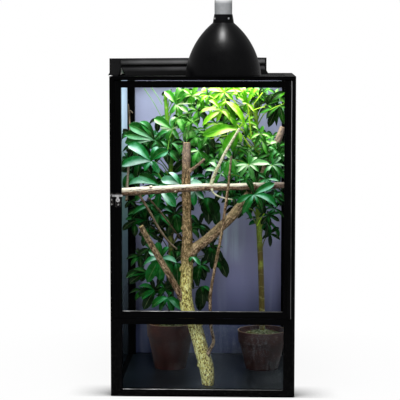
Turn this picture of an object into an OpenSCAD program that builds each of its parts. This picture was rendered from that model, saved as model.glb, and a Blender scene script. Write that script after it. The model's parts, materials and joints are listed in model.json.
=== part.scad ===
// Tall planted terrarium: a black framed glass cabinet with a hinged front door, a mesh top
// that carries a dome lamp and a tube light, climbing branches and two potted umbrella plants.
// Origin: centre of the footprint, on the floor. +X right, +Y to the back, +Z up.

/* [Cabinet] */
// Outside width of the cabinet
cab_w = 500; // [480:1:540]
// Outside depth of the cabinet
cab_d = 500; // [480:1:540]
// Outside height of the cabinet, without the lights
cab_h = 870; // [860:1:900]
// Side of the square frame profile
profile = 30; // [28:0.5:34]
// Width of the front posts' lip beside the door
lip_w = 11; // [10:0.5:13]
// Wall of the hollow posts
profile_wall = 2; // [1.5:0.1:2.2]
// Height of the bottom rails
base_h = 18; // [18:0.5:24]
// Height of the top rails
crown_h = 9; // [8.5:0.5:12]
// Thickness of the floor panel
floor_t = 5; // [3:0.5:6]
// Height above the floor of the middle rail's underside
middle_z = 198; // [190:1:215]
// Height of the middle rail
middle_h = 16; // [14:0.5:22]

/* [Glass and panels] */
// Thickness of the side glass
side_glass_t = 5; // [4:0.5:6]
// Distance of the side glass from the outside
side_glass_inset = 3; // [2.5:0.5:4]
// Thickness of the back panel
back_panel_t = 4; // [3:0.5:5]
// Distance of the back panel from the outside
back_panel_inset = 6; // [5:0.5:8]
// Thickness of the front panes
pane_t = 4; // [3:0.5:5]
// Depth of the grooves that hold the panes
groove_d = 6; // [4:0.5:6]

/* [Door] */
// Thickness of the door frame
door_t = 12; // [10:0.5:12]
// Width of the door's side members
stile_w = 19; // [17:0.5:24]
// Height of the door's top and bottom members
door_rail_h = 18; // [16:0.5:26]
// Gap at the door's sides
door_side_gap = 0.5; // [0.4:0.1:1]
// Gap above the door
door_top_gap = 3; // [1.5:0.5:4]
// Gap below the door
door_bottom_gap = 1.5; // [1:0.5:3]

/* [Hinge] */
// Diameter of the hinge barrel
barrel_d = 4.8; // [4.4:0.2:6]
// Diameter of the hinge pin
hinge_pin_d = 2; // [1.6:0.1:2.2]
// Number of knuckles, odd
knuckles = 11; // [9:2:15]
// Width of one hinge leaf
leaf_w = 8; // [7.5:0.5:9]
// Thickness of one hinge leaf
leaf_t = 0.8; // [0.6:0.1:0.8]

/* [Latch] */
// Height above the floor of the latch's pivot
latch_z = 537; // [450:1:620]
// Outside diameter of the latch's eye
latch_eye_d = 11; // [10:0.5:12]
// Diameter of the latch's hollow rivet
latch_rivet_d = 4.4; // [4:0.1:4.8]
// Rise of the latch's cross arm above the pivot
latch_rise = 12; // [12:0.5:14]

/* [Mesh top] */
// Width of the bars that hold the mesh
screen_bar_w = 14; // [12:0.5:18]
// Thickness of the bars that hold the mesh
screen_bar_t = 5; // [4:0.5:6]
// Thickness of the mesh
screen_t = 0.8; // [0.6:0.1:1.2]
// Openings across the mesh, each way
screen_openings = 12; // [6:1:12]
// Width of the mesh's wires
screen_wire_w = 2.4; // [1.6:0.2:4]

/* [Dome lamp] */
// Radius of the dome at its rim
dome_r = 104; // [95:1:106]
// Height of the dome
dome_h = 144; // [135:1:160]
// Radius of the curve of the dome's side
dome_arc_r = 207; // [190:1:240]
// Thickness of the dome
dome_t = 1.4; // [1:0.1:2]
// Radius of the dome's neck
neck_r = 29; // [27:0.5:31]
// Height of the vented collar
collar_h = 23; // [20:0.5:28]
// Diameter of the socket housing
socket_d = 48.4; // [46:0.2:52]
// Height of the socket housing
socket_h = 41; // [36:0.5:48]
// Lamp centre, to the right of the cabinet's left side
lamp_left = 303; // [300:1:320]
// Lamp centre, behind the cabinet's front
lamp_back = 115; // [108:1:119]
// Largest diameter of the bulb
bulb_d = 80; // [64:1:90]
// Length of the bulb's glass
bulb_l = 83; // [70:1:90]

/* [Tube light] */
// Length of the tube light
bar_l = 498; // [460:1:520]
// Width of its housing
bar_w = 52; // [48:1:56]
// Height of its housing
bar_h = 47; // [45:0.5:52]
// Sideways reach of each reflector wing
wing_reach = 20; // [16:0.5:22]
// Turn of the tube light on the top
bar_turn = 36; // [36:0.5:42]
// Left end of its centre line, to the right of the cabinet's left side
bar_left = 5; // [-5:1:9]
// Left end of its centre line, behind the cabinet's front
bar_back = 93; // [90:1:100]
// Diameter of the fluorescent tube
tube_d = 16; // [14:0.5:17]

/* [Planting] */
// Rim diameter of the left pot
left_pot_d = 138; // [125:1:145]
// Height of the left pot
left_pot_h = 132; // [120:1:140]
// Rim diameter of the right pot
right_pot_d = 142; // [125:1:145]
// Height of the right pot
right_pot_h = 112; // [105:1:125]
// Left pot's centre, to the right of the cabinet's centre
left_pot_x = -104; // [-115:1:-100]
// Gap between the right pot's rim and the right glass
right_pot_gap = 8; // [3:0.5:12]
// Centre of both pots, behind the cabinet's centre
pot_back = 40; // [35:1:60]
// Thickness of a leaf whorl's plain disc
leaf_sheet_t = 1.6; // [1.2:0.1:2]

/* [Hidden] */
$fn = 64;

// Cut tools run this far past the faces that they cut
over = 1;
// Play of a pane in its groove, on each side
pane_play = 0.2;
// Step between two pieces that only just clear each other
hair = 0.3;

// Cabinet levels and half sizes
half_w = cab_w / 2;
half_d = cab_d / 2;
front_y = -half_d;
crown_z = cab_h - crown_h;
in_x = half_w - profile;
in_y = half_d - profile;
lip_x = half_w - lip_w;
// Front face of the door stop behind the door
stop_y = front_y + door_t + 1;
middle_top = middle_z + middle_h;

// Door outline
door_half_w = lip_x - door_side_gap;
door_z0 = middle_top + door_bottom_gap;
door_z1 = crown_z - door_top_gap;
pane_y = front_y + (door_t - pane_t) / 2;
pane_in_x = door_half_w - stile_w;

// Panel seats
side_groove = side_glass_t + 2 * pane_play;
back_groove = back_panel_t + 2 * pane_play;
pane_groove = pane_t + 2 * pane_play;
crown_groove_d = 4;
floor_ledge = 8;
floor_play = 0.3;

// Mesh top
screen_lap = 8;
screen_seat = 21;
screen_half_w = half_w - screen_seat - hair;
screen_half_d = half_d - screen_seat - hair;
screen_lip = screen_bar_w - screen_lap;

// Hinge: the pin stands just in front of the door's face, over the gap at the right
hinge_x = lip_x;
hinge_y = front_y - barrel_d / 2 - 0.2;
hinge_l = door_z1 - door_z0;
knuckle_l = hinge_l / knuckles;
knuckle_gap = 0.3;
pin_play = 0.05;

// Latch
plate_t = 1.2;
plate_play = 0.1;
hook_t = 1.1;
latch_x = -(door_half_w - 10.2);
keeper_x = -(half_w - 5);
peg_d = 2.8;
peg_play = 0.5;
keeper_screw_zs = [latch_z - 11, latch_z + 1];
plate_half_w = 7.5;
plate_half_h = 19;
arm_z = latch_z + latch_rise;

// Dome lamp
lamp_x = -half_w + lamp_left;
lamp_y = front_y + lamp_back;
rim_t = 1.5;
chord = sqrt((dome_r - neck_r) ^ 2 + dome_h ^ 2);
arc_sag = sqrt(dome_arc_r ^ 2 - chord ^ 2 / 4);
arc_cx = (dome_r + neck_r) / 2 - arc_sag * dome_h / chord;
arc_cz = dome_h / 2 - arc_sag * (dome_r - neck_r) / chord;
collar_z = cab_h + dome_h;
socket_z = collar_z + collar_h;
collar_mid_r = (neck_r + socket_d / 2 + 1) / 2;
rivet_d = 3;
holder_r = 20;
holder_drop = 24;
cap_r = 13.3;
cap_play = 0.3;
cap_l = 26;
holder_z = collar_z - holder_drop;
bulb_top = holder_z + cap_l - cap_play;

// Tube light, in its own frame: x along it, y across it, z above the mesh
bar_x = -half_w + bar_left;
sheet_t = 1.5;
bar_cap_t = 6;
recess_z0 = 22;
recess_z1 = 29;
recess_in = 2;
bar_bevel = 3;
wing_t = 1.2;
wing_flange = 3;
pan_t = 1.2;
tube_z = tube_d / 2 + 4;
holder_l = 12;
holder_half = 10;
rotor_r = 5.4;
rotor_play = 0.1;
rotor_l = 6;

// Pots
pot_wall = 3;
pot_foot = 0.66;
collar_share = 0.3;
collar_step = 5;
soil_play = 0.05;
soil_drop = 14;

// Branch routes: [x, y, z, radius], in millimetres, in the cabinet's frame
trunk_path = [
    [13, -190, 22, 17.5], [8, -181, 70, 20], [-24, -168, 180, 19], [-44, -161, 225, 19],
    [-50, -154, 272, 17.5], [-46, -146, 332, 17], [-47, -137, 380, 17],
    [-47, -122, 440, 14], [-50, -104, 520, 12.5], [-51, -90, 608, 12.5], [-50, -80, 676, 10.5]
];
left_arm_path = [[-52, -160, 238, 9], [-93, -170, 319, 9], [-134, -178, 390, 8.5], [-172, -185, 455, 8]];
right_arm_path = [
    [-44, -138, 372, 14], [26, -112, 428, 14], [94, -86, 496, 13], [145, -64, 570, 11],
    [188, -44, 646, 10], [218, -26, 716, 9.5]
];
side_twig_path = [[-50, -92, 596, 5], [-22, -100, 618, 4.5], [1, -108, 634, 4]];
long_twig_path = [
    [8, -184, 84, 6], [16, -190, 112, 6], [31, -194, 141, 4.5], [20, -192, 184, 5],
    [19, -186, 229, 5], [20, -180, 274, 4.5], [32, -174, 345, 4.5], [48, -168, 428, 4.5],
    [62, -163, 524, 4.2], [68, -160, 570, 4], [76, -154, 648, 3]
];
cross_path = [
    [-150, -130, 552, 11.5], [-76, -131, 558, 10.5], [0, -130, 561, 10.5], [60, -131, 562, 10],
    [138, -126, 563, 9.5]
];
cross_shoot_path = [[18, -131, 566, 6], [38, -138, 616, 5], [61, -142, 662, 4.5], [98, -146, 722, 4]];
cross_left_end = [-half_w + 8 + 12, -128, 546, 12];
cross_right_end = [half_w - 8 - 8, -118, 568, 8];
drop_twig_path = [[-180, -133, 541, 4], [-148, -138, 489, 3.5], [-124, -144, 447, 3.5],
    [-97, -149, 411, 3.2], [-74, -152, 392, 3]];

// Leaf whorls of the left plant, x and y from its pot's centre:
// [x, y, z, radius, lean towards x, lean towards y]
left_whorls = [
    [-56, 0, 619, 62, -30, -45], [-46, 40, 690, 58, -20, -30], [-30, -50, 556, 52, -10, -55],
    [-72, 20, 488, 50, -40, -30], [-24, -60, 345, 58, -15, -60], [4, -75, 236, 52, 5, -60],
    [-78, -5, 300, 50, -40, -35], [-64, -30, 252, 46, -30, -50], [-62, 50, 430, 54, -35, -20],
    [12, 30, 786, 56, 5, -25], [4, -20, 716, 46, 0, -45], [59, 20, 626, 52, 30, -35],
    [66, 30, 552, 50, 35, -30], [82, 20, 262, 48, 35, -40], [144, 72, 320, 50, 40, -20],
    [-86, 80, 660, 50, -35, 5], [68, 90, 708, 54, 30, 0], [-72, 100, 385, 50, -30, 15],
    [-12, 110, 560, 56, -5, 35], [44, 106, 450, 52, 25, 20], [44, 60, 345, 50, 30, 10],
    [-46, 120, 770, 50, -20, 20], [-6, -10, 450, 50, -5, -50], [64, 110, 800, 46, 25, 15]
];
// Leaf whorls of the right plant
right_whorls = [
    [-119, -50, 770, 70, -25, -40], [-113, 20, 822, 56, -25, -15], [-73, -70, 704, 62, -15, -50],
    [-43, 0, 815, 60, -5, -20], [-41, -55, 612, 58, -10, -55], [23, -30, 606, 50, 30, -45],
    [-23, 10, 512, 54, -5, -30], [21, -50, 770, 52, 30, -45], [13, 40, 440, 46, 30, -5],
    [-3, 60, 716, 60, 10, 10], [-79, 50, 640, 56, -25, 0], [25, 70, 686, 50, 30, 15],
    [-139, 50, 716, 52, -35, 0], [-97, 100, 770, 56, -15, 20], [15, -20, 838, 46, 20, -15],
    [-63, 90, 540, 54, -20, 20], [29, 50, 540, 46, 35, 5], [-37, 110, 830, 50, 5, 20],
    [27, 110, 790, 46, 25, 20], [-159, 0, 800, 48, -40, -15], [-53, 80, 440, 46, -25, 15],
    [-151, 100, 640, 46, -35, 15]
];
left_stem = [
    [2, 2, 189, 8.5], [2, 4, 357, 8], [0, 8, 503, 7.5], [2, 12, 657, 7],
    [-8, 12, 730, 6], [-14, 12, 812, 5]
];
right_stem = [
    [-1, 0, 189, 9], [-4, 0, 300, 8.5], [-8, -2, 388, 8.5], [-12, -4, 463, 8],
    [-16, -5, 522, 7.5], [-18, -5, 655, 7], [-20, 4, 800, 5]
];
left_fork = [[2, 12, 657, 5], [14, 20, 720, 4.5], [22, 26, 786, 4]];
right_fork = [[-18, -5, 655, 6], [-34, 6, 740, 5], [-46, 14, 800, 4.5]];
petiole_r = 1.4;
leaflets = 8;
// Each stem's root goes this far into the soil
stem_root_r = 9;
stem_root_l = 40;
// Leaves keep this far off the glass and the mesh
leaf_margin = 2;
right_pot_x = half_w - side_glass_inset - side_glass_t - right_pot_gap - right_pot_d / 2;
left_soil_z = base_h + left_pot_h - soil_drop;
right_soil_z = base_h + right_pot_h - soil_drop;

// The long parts of the frame

// One post's section at the front left corner: lip beside the door, stop behind it
module front_post_section() {
    difference() {
        union() {
            translate([-half_w, front_y]) square([lip_w, profile]);
            translate([-half_w, stop_y]) square([profile, front_y + profile - stop_y]);
        }
        translate([-half_w + profile_wall, front_y + profile_wall])
            square([lip_w - 2 * profile_wall, profile - groove_d - 2 * profile_wall - over]);
        translate([-lip_x, stop_y + profile_wall])
            square([profile - lip_w - profile_wall, profile - (stop_y - front_y) - 2 * profile_wall]);
        side_groove_section();
    }
}

// Groove for the side glass in a front post's back face
module side_groove_section() {
    translate([-half_w + side_glass_inset - pane_play, -in_y - groove_d])
        square([side_groove, groove_d + over]);
}

// One post's section at the back left corner
module back_post_section() {
    cavity = profile - groove_d - 2 * profile_wall - over;
    difference() {
        translate([-half_w, in_y]) square([profile, profile]);
        translate([-half_w + profile_wall, half_d - profile_wall - cavity]) square([cavity, cavity]);
        mirror([0, 1]) side_groove_section();
        translate([-in_x - groove_d, half_d - back_panel_inset - back_panel_t - pane_play])
            square([groove_d + over, back_groove]);
    }
}

module front_left_post() {
    color("#0d0d0e") linear_extrude(crown_z) front_post_section();
}

module front_right_post() {
    color("#0d0d0e") linear_extrude(crown_z) mirror([1, 0]) front_post_section();
}

module back_left_post() {
    color("#0d0d0e") linear_extrude(crown_z) back_post_section();
}

module back_right_post() {
    color("#0d0d0e") linear_extrude(crown_z) mirror([1, 0]) back_post_section();
}

// A bar across the front between the posts, from z to z + h
module front_bar(z, h) {
    translate([-lip_x, front_y, z]) cube([2 * lip_x, stop_y - front_y, h]);
    translate([-in_x, front_y, z]) cube([2 * in_x, profile, h]);
}

// Groove for the lower pane, cut downwards or upwards from z
module lower_pane_groove(z) {
    translate([-lip_x - over, pane_y - pane_play, z - groove_d / 2])
        cube([2 * (lip_x + over), pane_groove, groove_d]);
}

// Rebate that the floor panel lies in, for all four bottom rails
module floor_seat() {
    reach_x = in_x + floor_ledge + floor_play;
    reach_y = in_y + floor_ledge + floor_play;
    translate([-reach_x, -reach_y, base_h - floor_t]) cube([2 * reach_x, 2 * reach_y, floor_t + over]);
}

module bottom_front_rail() {
    color("#0d0d0e") difference() {
        front_bar(0, base_h);
        floor_seat();
        lower_pane_groove(base_h);
    }
}

module bottom_back_rail() {
    color("#0d0d0e") difference() {
        translate([-in_x, in_y, 0]) cube([2 * in_x, profile, base_h]);
        floor_seat();
        translate([-half_w, half_d - back_panel_inset - back_panel_t - pane_play, base_h - groove_d])
            cube([cab_w, back_groove, groove_d + over]);
    }
}

module bottom_left_rail() {
    color("#0d0d0e") difference() {
        translate([-half_w, -in_y, 0]) cube([profile, 2 * in_y, base_h]);
        floor_seat();
        translate([-half_w + side_glass_inset - pane_play, -half_d, base_h - groove_d])
            cube([side_groove, cab_d, groove_d + over]);
    }
}

module bottom_right_rail() {
    mirror([1, 0, 0]) bottom_left_rail();
}

// A mitred top rail: len long, its outer face at distance off, a pane groove from below
module crown_rail(len, off, inset, groove) {
    outer = len / 2;
    difference() {
        translate([0, 0, crown_z]) linear_extrude(crown_h)
            polygon([[-outer, -off], [outer, -off], [outer - profile, profile - off],
                [profile - outer, profile - off]]);
        translate([screen_seat - outer, screen_seat - off, cab_h - screen_bar_t])
            cube([len - 2 * screen_seat, profile, screen_bar_t + over]);
        if (groove > 0)
            translate([-outer + profile - groove_d, inset - off, crown_z - over])
                cube([len - 2 * (profile - groove_d), groove, crown_groove_d + over]);
    }
}

module top_front_rail() {
    color("#0d0d0e") crown_rail(cab_w, half_d, 0, 0);
}

module top_back_rail() {
    color("#0d0d0e") rotate(180) crown_rail(cab_w, half_d, back_panel_inset - pane_play, back_groove);
}

module top_left_rail() {
    color("#0d0d0e") rotate(-90) crown_rail(cab_d, half_w, side_glass_inset - pane_play, side_groove);
}

module top_right_rail() {
    color("#0d0d0e") rotate(90) crown_rail(cab_d, half_w, side_glass_inset - pane_play, side_groove);
}

module middle_rail() {
    color("#0d0d0e") difference() {
        front_bar(middle_z, middle_h);
        lower_pane_groove(middle_z);
    }
}

// Panels

// Bar under the middle of the floor panel, from the front rail to the back rail
module floor_brace() {
    bar_in = profile - 2 * profile_wall;
    brace_h = base_h - floor_t;
    color("#0d0d0e") difference() {
        translate([-profile / 2, -in_y, 0]) cube([profile, 2 * in_y, brace_h]);
        translate([-bar_in / 2, -in_y - over, profile_wall])
            cube([bar_in, 2 * (in_y + over), brace_h - 2 * profile_wall]);
    }
}

module floor_panel() {
    reach_x = in_x + floor_ledge;
    reach_y = in_y + floor_ledge;
    color("#11171c") translate([0, 0, base_h - floor_t]) {
        translate([-reach_x, -in_y + floor_play, 0])
            cube([2 * reach_x, 2 * (in_y - floor_play), floor_t]);
        translate([-in_x + floor_play, -reach_y, 0])
            cube([2 * (in_x - floor_play), 2 * reach_y, floor_t]);
    }
}

module left_glass() {
    color("#bfd3dc", 0.35)
        translate([-half_w + side_glass_inset, -in_y - groove_d + pane_play, base_h - groove_d])
            cube([side_glass_t, 2 * (in_y + groove_d - pane_play),
                crown_z + crown_groove_d - pane_play - base_h + groove_d]);
}

module right_glass() {
    mirror([1, 0, 0]) left_glass();
}

module back_panel() {
    color("#a9abc8")
        translate([-in_x - groove_d + pane_play, half_d - back_panel_inset - back_panel_t,
            base_h - groove_d])
            cube([2 * (in_x + groove_d - pane_play), back_panel_t,
                crown_z + crown_groove_d - pane_play - base_h + groove_d]);
}

// Upright of the fixed lower panel, at the left
module lower_stile() {
    difference() {
        translate([-lip_x, front_y, base_h]) cube([stile_w, stop_y - front_y, middle_z - base_h]);
        translate([-lip_x + stile_w - groove_d, pane_y - pane_play, base_h - over])
            cube([groove_d + over, pane_groove, middle_z - base_h + 2 * over]);
    }
}

module lower_left_stile() {
    color("#0d0d0e") lower_stile();
}

module lower_right_stile() {
    color("#0d0d0e") mirror([1, 0, 0]) lower_stile();
}

module lower_glass() {
    reach = lip_x - stile_w + groove_d - pane_play;
    lap = groove_d / 2;
    color("#bfd3dc", 0.35) translate([-reach, pane_y, base_h - lap])
        cube([2 * reach, pane_t, middle_z - base_h + 2 * lap - pane_play]);
}

// Mesh top

// One bar under the mesh: len long at distance off, with the mesh's rebate on its inside
module screen_bar(len, off) {
    difference() {
        translate([-len / 2, -off, cab_h - screen_bar_t]) cube([len, screen_bar_w, screen_bar_t]);
        translate([-len / 2 - over, screen_lip - off, cab_h - screen_t])
            cube([len + 2 * over, screen_bar_w, screen_t + over]);
    }
}

module screen_bars() {
    side_len = 2 * (screen_half_d - screen_bar_w - hair / 3);
    color("#17181a") {
        for (turn = [0, 180]) {
            rotate(turn) screen_bar(2 * screen_half_w, screen_half_d);
            rotate(turn + 90) screen_bar(side_len, screen_half_w);
        }
    }
}

// Sheet of the mesh, with a plain grid of openings inside the bars' rebate
module screen_mesh() {
    half_x = screen_half_w - screen_lip - hair / 3;
    half_y = screen_half_d - screen_lip - hair / 3;
    pitch_x = 2 * (half_x - screen_lap) / screen_openings;
    pitch_y = 2 * (half_y - screen_lap) / screen_openings;
    color("#1c1d1f") translate([0, 0, cab_h - screen_t]) linear_extrude(screen_t) difference() {
        square([2 * half_x, 2 * half_y], center = true);
        for (col = [0:screen_openings - 1], row = [0:screen_openings - 1])
            translate([
                screen_lap - half_x + (col + 0.5) * pitch_x,
                screen_lap - half_y + (row + 0.5) * pitch_y
            ]) square([pitch_x - screen_wire_w, pitch_y - screen_wire_w], center = true);
    }
}

// Door

module door_stile() {
    difference() {
        translate([-door_half_w, front_y, door_z0]) cube([stile_w, door_t, hinge_l]);
        translate([-pane_in_x - groove_d, pane_y - pane_play, door_z0 + door_rail_h - groove_d])
            cube([groove_d + over, pane_groove, hinge_l - 2 * (door_rail_h - groove_d)]);
    }
}

module door_left_stile() {
    color("#0d0d0e") door_stile();
}

module door_right_stile() {
    color("#0d0d0e") mirror([1, 0, 0]) door_stile();
}

// Door member between the stiles, its groove facing up or down
module door_rail(z, groove_z) {
    difference() {
        translate([-pane_in_x, front_y, z]) cube([2 * pane_in_x, door_t, door_rail_h]);
        translate([-pane_in_x - over, pane_y - pane_play, groove_z])
            cube([2 * (pane_in_x + over), pane_groove, groove_d + over]);
    }
}

module door_top_rail() {
    color("#0d0d0e") door_rail(door_z1 - door_rail_h, door_z1 - door_rail_h - over);
}

module door_bottom_rail() {
    color("#0d0d0e") door_rail(door_z0, door_z0 + door_rail_h - groove_d);
}

module door_glass() {
    reach = pane_in_x + groove_d - pane_play;
    z0 = door_z0 + door_rail_h - groove_d;
    z1 = door_z1 - door_rail_h + groove_d - pane_play;
    color("#bfd3dc", 0.35) translate([-reach, pane_y, z0]) cube([2 * reach, pane_t, z1 - z0]);
}

// Hinge

// Knuckles first, first + 2, ... of the barrel, drilled for the pin
module hinge_knuckles(first) {
    for (i = [first : 2 : knuckles - 1])
        translate([hinge_x, hinge_y, door_z0 + i * knuckle_l + knuckle_gap / 2])
            cylinder(h = knuckle_l - knuckle_gap, d = barrel_d);
}

// A leaf on the front face, side -1 for the door and 1 for the post, with tabs to its knuckles
module hinge_leaf(side, first) {
    clear = barrel_d / 2 + hair;
    tab_y = hinge_y;
    difference() {
        union() {
            translate([side > 0 ? hinge_x + clear : hinge_x - leaf_w - door_side_gap,
                front_y - leaf_t, door_z0])
                cube([leaf_w - clear + (side > 0 ? 0 : door_side_gap), leaf_t, hinge_l]);
            for (i = [first : 2 : knuckles - 1])
                translate([side > 0 ? hinge_x : hinge_x - clear - over, front_y - leaf_t,
                    door_z0 + i * knuckle_l + knuckle_gap / 2])
                    cube([clear + over, leaf_t, knuckle_l - knuckle_gap]);
            hinge_knuckles(first);
        }
        translate([hinge_x, hinge_y, door_z0 - over])
            cylinder(h = hinge_l + 2 * over, d = hinge_pin_d + 2 * pin_play);
    }
}

module hinge_post_leaf() {
    color("#141415") hinge_leaf(1, 0);
}

module hinge_door_leaf() {
    color("#141415") hinge_leaf(-1, 1);
}

module hinge_pin() {
    color("#6f7174") translate([hinge_x, hinge_y, door_z0]) cylinder(h = hinge_l, d = hinge_pin_d);
}

// Latch: a hook on the door drops over a peg on the post

// Something drawn along +Z, turned to stand out of the front face at x, z
module on_front(x, z, y = front_y) {
    translate([x, y, z]) rotate([90, 0, 0]) children();
}

// A flat plate with rounded corners, half sizes a by b
module rounded_plate(a, b, t, r = 2) {
    linear_extrude(t) {
        square([2 * (a - r), 2 * b], center = true);
        square([2 * a, 2 * (b - r)], center = true);
        for (sx = [-1, 1], sy = [-1, 1]) translate([sx * (a - r), sy * (b - r)]) circle(r = r, $fn = 32);
    }
}

module latch_keeper() {
    half_h = 17;
    color("#a8a9ab") {
        on_front(keeper_x, latch_z + 2) rounded_plate(4.4, half_h, plate_t);
        on_front(keeper_x, arm_z, front_y - plate_t) cylinder(h = 2.9, d = peg_d, $fn = 32);
    }
}

module latch_keeper_screws() {
    color("#9c9da0") for (z = keeper_screw_zs)
        on_front(keeper_x, z, front_y - plate_t) cylinder(h = 1.2, d1 = 4.8, d2 = 3.4, $fn = 32);
}

module latch_plate() {
    color("#a8a9ab") difference() {
        on_front(latch_x, latch_z) rounded_plate(plate_half_w, plate_half_h, plate_t);
        on_front(latch_x, latch_z, front_y + over)
            cylinder(h = plate_t + 2 * over, d = latch_rivet_d - 1, $fn = 32);
    }
}

module latch_plate_screws() {
    color("#9c9da0")
        on_front(latch_x + 1, latch_z - 12.3, front_y - plate_t)
            cylinder(h = 1.3, d1 = 5, d2 = 3.4, $fn = 32);
}

// Hollow rivet that the hook turns on
module latch_rivet() {
    flange_t = 0.6;
    shank = hook_t + 2 * plate_play;
    color("#b9babd") on_front(latch_x, latch_z, front_y - plate_t) difference() {
        union() {
            cylinder(h = shank, d = latch_rivet_d);
            translate([0, 0, shank]) cylinder(h = flange_t, d = latch_rivet_d + 1.4);
        }
        translate([0, 0, -over]) cylinder(h = shank + flange_t + 2 * over, d = latch_rivet_d - 1.2);
    }
}

// Eye, stem and cross arm, with a notch at the left that drops over the peg
// The notch follows the arc that the peg takes as the hook turns
module latch_hook() {
    arm_half_h = 2.8;
    notch_lip = 3.6;
    tab_reach = 11;
    notch_x = keeper_x - latch_x;
    notch_r = norm([notch_x, latch_rise]);
    notch_half_w = peg_d / 2 + peg_play;
    color("#b4b5b8") on_front(latch_x, latch_z, front_y - plate_t - plate_play)
        linear_extrude(hook_t) difference() {
            union() {
                circle(d = latch_eye_d);
                translate([-3, 0]) square([6, latch_rise]);
                translate([notch_x - notch_lip, latch_rise - arm_half_h])
                    square([tab_reach - notch_x + notch_lip, 2 * arm_half_h]);
                translate([tab_reach, latch_rise]) circle(r = arm_half_h, $fn = 32);
            }
            circle(d = latch_rivet_d + 2 * pin_play);
            translate([notch_x, latch_rise]) circle(r = notch_half_w, $fn = 32);
            intersection() {
                difference() {
                    circle(r = notch_r + notch_half_w);
                    circle(r = notch_r - notch_half_w);
                }
                polygon([[0, 0], [2 * notch_x, 2 * latch_rise], [3 * notch_x, 0]]);
            }
        }
}

// Dome lamp

module at_lamp() {
    translate([lamp_x, lamp_y, 0]) children();
}

// Section of the dome's curved wall, one arc thick on each face
module dome_section() {
    intersection() {
        translate([arc_cx, arc_cz]) difference() {
            circle(r = dome_arc_r, $fn = 256);
            circle(r = dome_arc_r - dome_t, $fn = 256);
        }
        translate([neck_r - 2 * dome_t, 0]) square([dome_r, dome_h]);
    }
}

module dome_shell() {
    color("#111112") at_lamp() translate([0, 0, cab_h]) rotate_extrude($fn = 128) {
        dome_section();
        translate([dome_r - 3 * dome_t, 0]) square([3 * dome_t + 0.6, rim_t]);
    }
}

module dome_collar() {
    wall = 1.5;
    top_r = socket_d / 2 + 1;
    color("#141415") at_lamp() difference() {
        translate([0, 0, collar_z]) rotate_extrude()
            polygon([[neck_r, 0], [top_r, collar_h], [top_r - wall - 2, collar_h],
                [top_r - wall - 2, collar_h - wall], [top_r - wall, collar_h - wall],
                [neck_r - wall, 0]]);
        at_rivets(collar_mid_r - 5) cylinder(h = 10, d = rivet_d + 2 * pin_play, $fn = 32);
    }
}

// Something drawn along +Z, stood radially at each rivet of the collar, a quarter turn apart
module at_rivets(r) {
    for (turn = [33, 123, 213, 303]) rotate(turn)
        translate([0, -r, collar_z + collar_h / 2]) rotate([90, 0, 0]) children();
}

module collar_rivets() {
    shank = 2.4;
    head_r = collar_mid_r + rivet_d * (neck_r - socket_d / 2 - 1) / collar_h + 0.05;
    color("#b9babd") at_lamp() {
        at_rivets(head_r) cylinder(h = 1.3, d1 = rivet_d + 2, d2 = rivet_d, $fn = 32);
        at_rivets(head_r - shank) cylinder(h = shank + 0.2, d = rivet_d, $fn = 32);
    }
}

module lamp_socket() {
    fillet = 3;
    hole_r = 5;
    color("#b2b3b4") at_lamp() translate([0, 0, socket_z]) rotate_extrude() difference() {
        union() {
            square([socket_d / 2 - fillet, socket_h]);
            square([socket_d / 2, socket_h - fillet]);
            translate([socket_d / 2 - fillet, socket_h - fillet]) circle(r = fillet);
        }
        translate([-over, socket_h - 8]) square([hole_r + over, 8 + over]);
    }
}

// Sleeve in the socket's top, where a lead would enter
module lamp_grommet() {
    color("#1a1a1b") at_lamp() translate([0, 0, socket_z + socket_h - 8]) rotate_extrude()
        difference() {
            square([5, 8.8]);
            translate([-over, 2]) square([3.2 + over, 8]);
        }
}

// Ceramic holder that hangs inside the collar
module lampholder() {
    color("#e4e0d6") at_lamp() difference() {
        translate([0, 0, holder_z]) cylinder(h = socket_z - holder_z, r = holder_r);
        translate([0, 0, holder_z - over]) cylinder(h = cap_l + over, r = cap_r + cap_play);
    }
}

module bulb() {
    face_r = bulb_d / 2;
    shoulder = 0.3 * bulb_l;
    neck_z = holder_z - 4;
    face_z = neck_z - bulb_l;
    color("#eef0ee") at_lamp() rotate_extrude()
        polygon([[0, bulb_top], [cap_r, bulb_top], [cap_r, neck_z], [cap_r + 1, neck_z],
            [face_r, face_z + shoulder], [face_r - 4, face_z + 8], [face_r * 0.6, face_z + 2],
            [0, face_z]]);
}

// Tube light

module at_bar() {
    translate([bar_x, front_y + bar_back, cab_h]) rotate(bar_turn) children();
}

// A section in the bar's y and z, drawn along its length from x0 to x1
module along_bar(x0, x1) {
    at_bar() translate([x0, 0, 0]) rotate([90, 0, 90]) linear_extrude(x1 - x0) children();
}

module bar_housing() {
    half = bar_w / 2;
    neck = half - recess_in;
    inner = half - sheet_t;
    roof = bar_h - sheet_t;
    color("#3a3b3d") along_bar(bar_cap_t, bar_l - bar_cap_t)
        polygon([
            [-neck, recess_z0], [-neck, recess_z1], [-half, recess_z1], [-half, bar_h - bar_bevel],
            [-half + bar_bevel, bar_h], [half - bar_bevel, bar_h], [half, bar_h - bar_bevel],
            [half, recess_z1], [neck, recess_z1], [neck, recess_z0], [neck - sheet_t, recess_z0],
            [neck - sheet_t, recess_z1 + sheet_t], [inner, recess_z1 + sheet_t],
            [inner, roof - bar_bevel], [inner - bar_bevel, roof], [-inner + bar_bevel, roof],
            [-inner, roof - bar_bevel], [-inner, recess_z1 + sheet_t],
            [-neck + sheet_t, recess_z1 + sheet_t], [-neck + sheet_t, recess_z0]
        ]);
}

// White plate that closes the housing's underside
module bar_pan() {
    half = bar_w / 2 - recess_in - sheet_t;
    color("#e9eaea") along_bar(bar_cap_t, bar_l - bar_cap_t)
        translate([-half, recess_z0]) square([2 * half, pan_t]);
}

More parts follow.
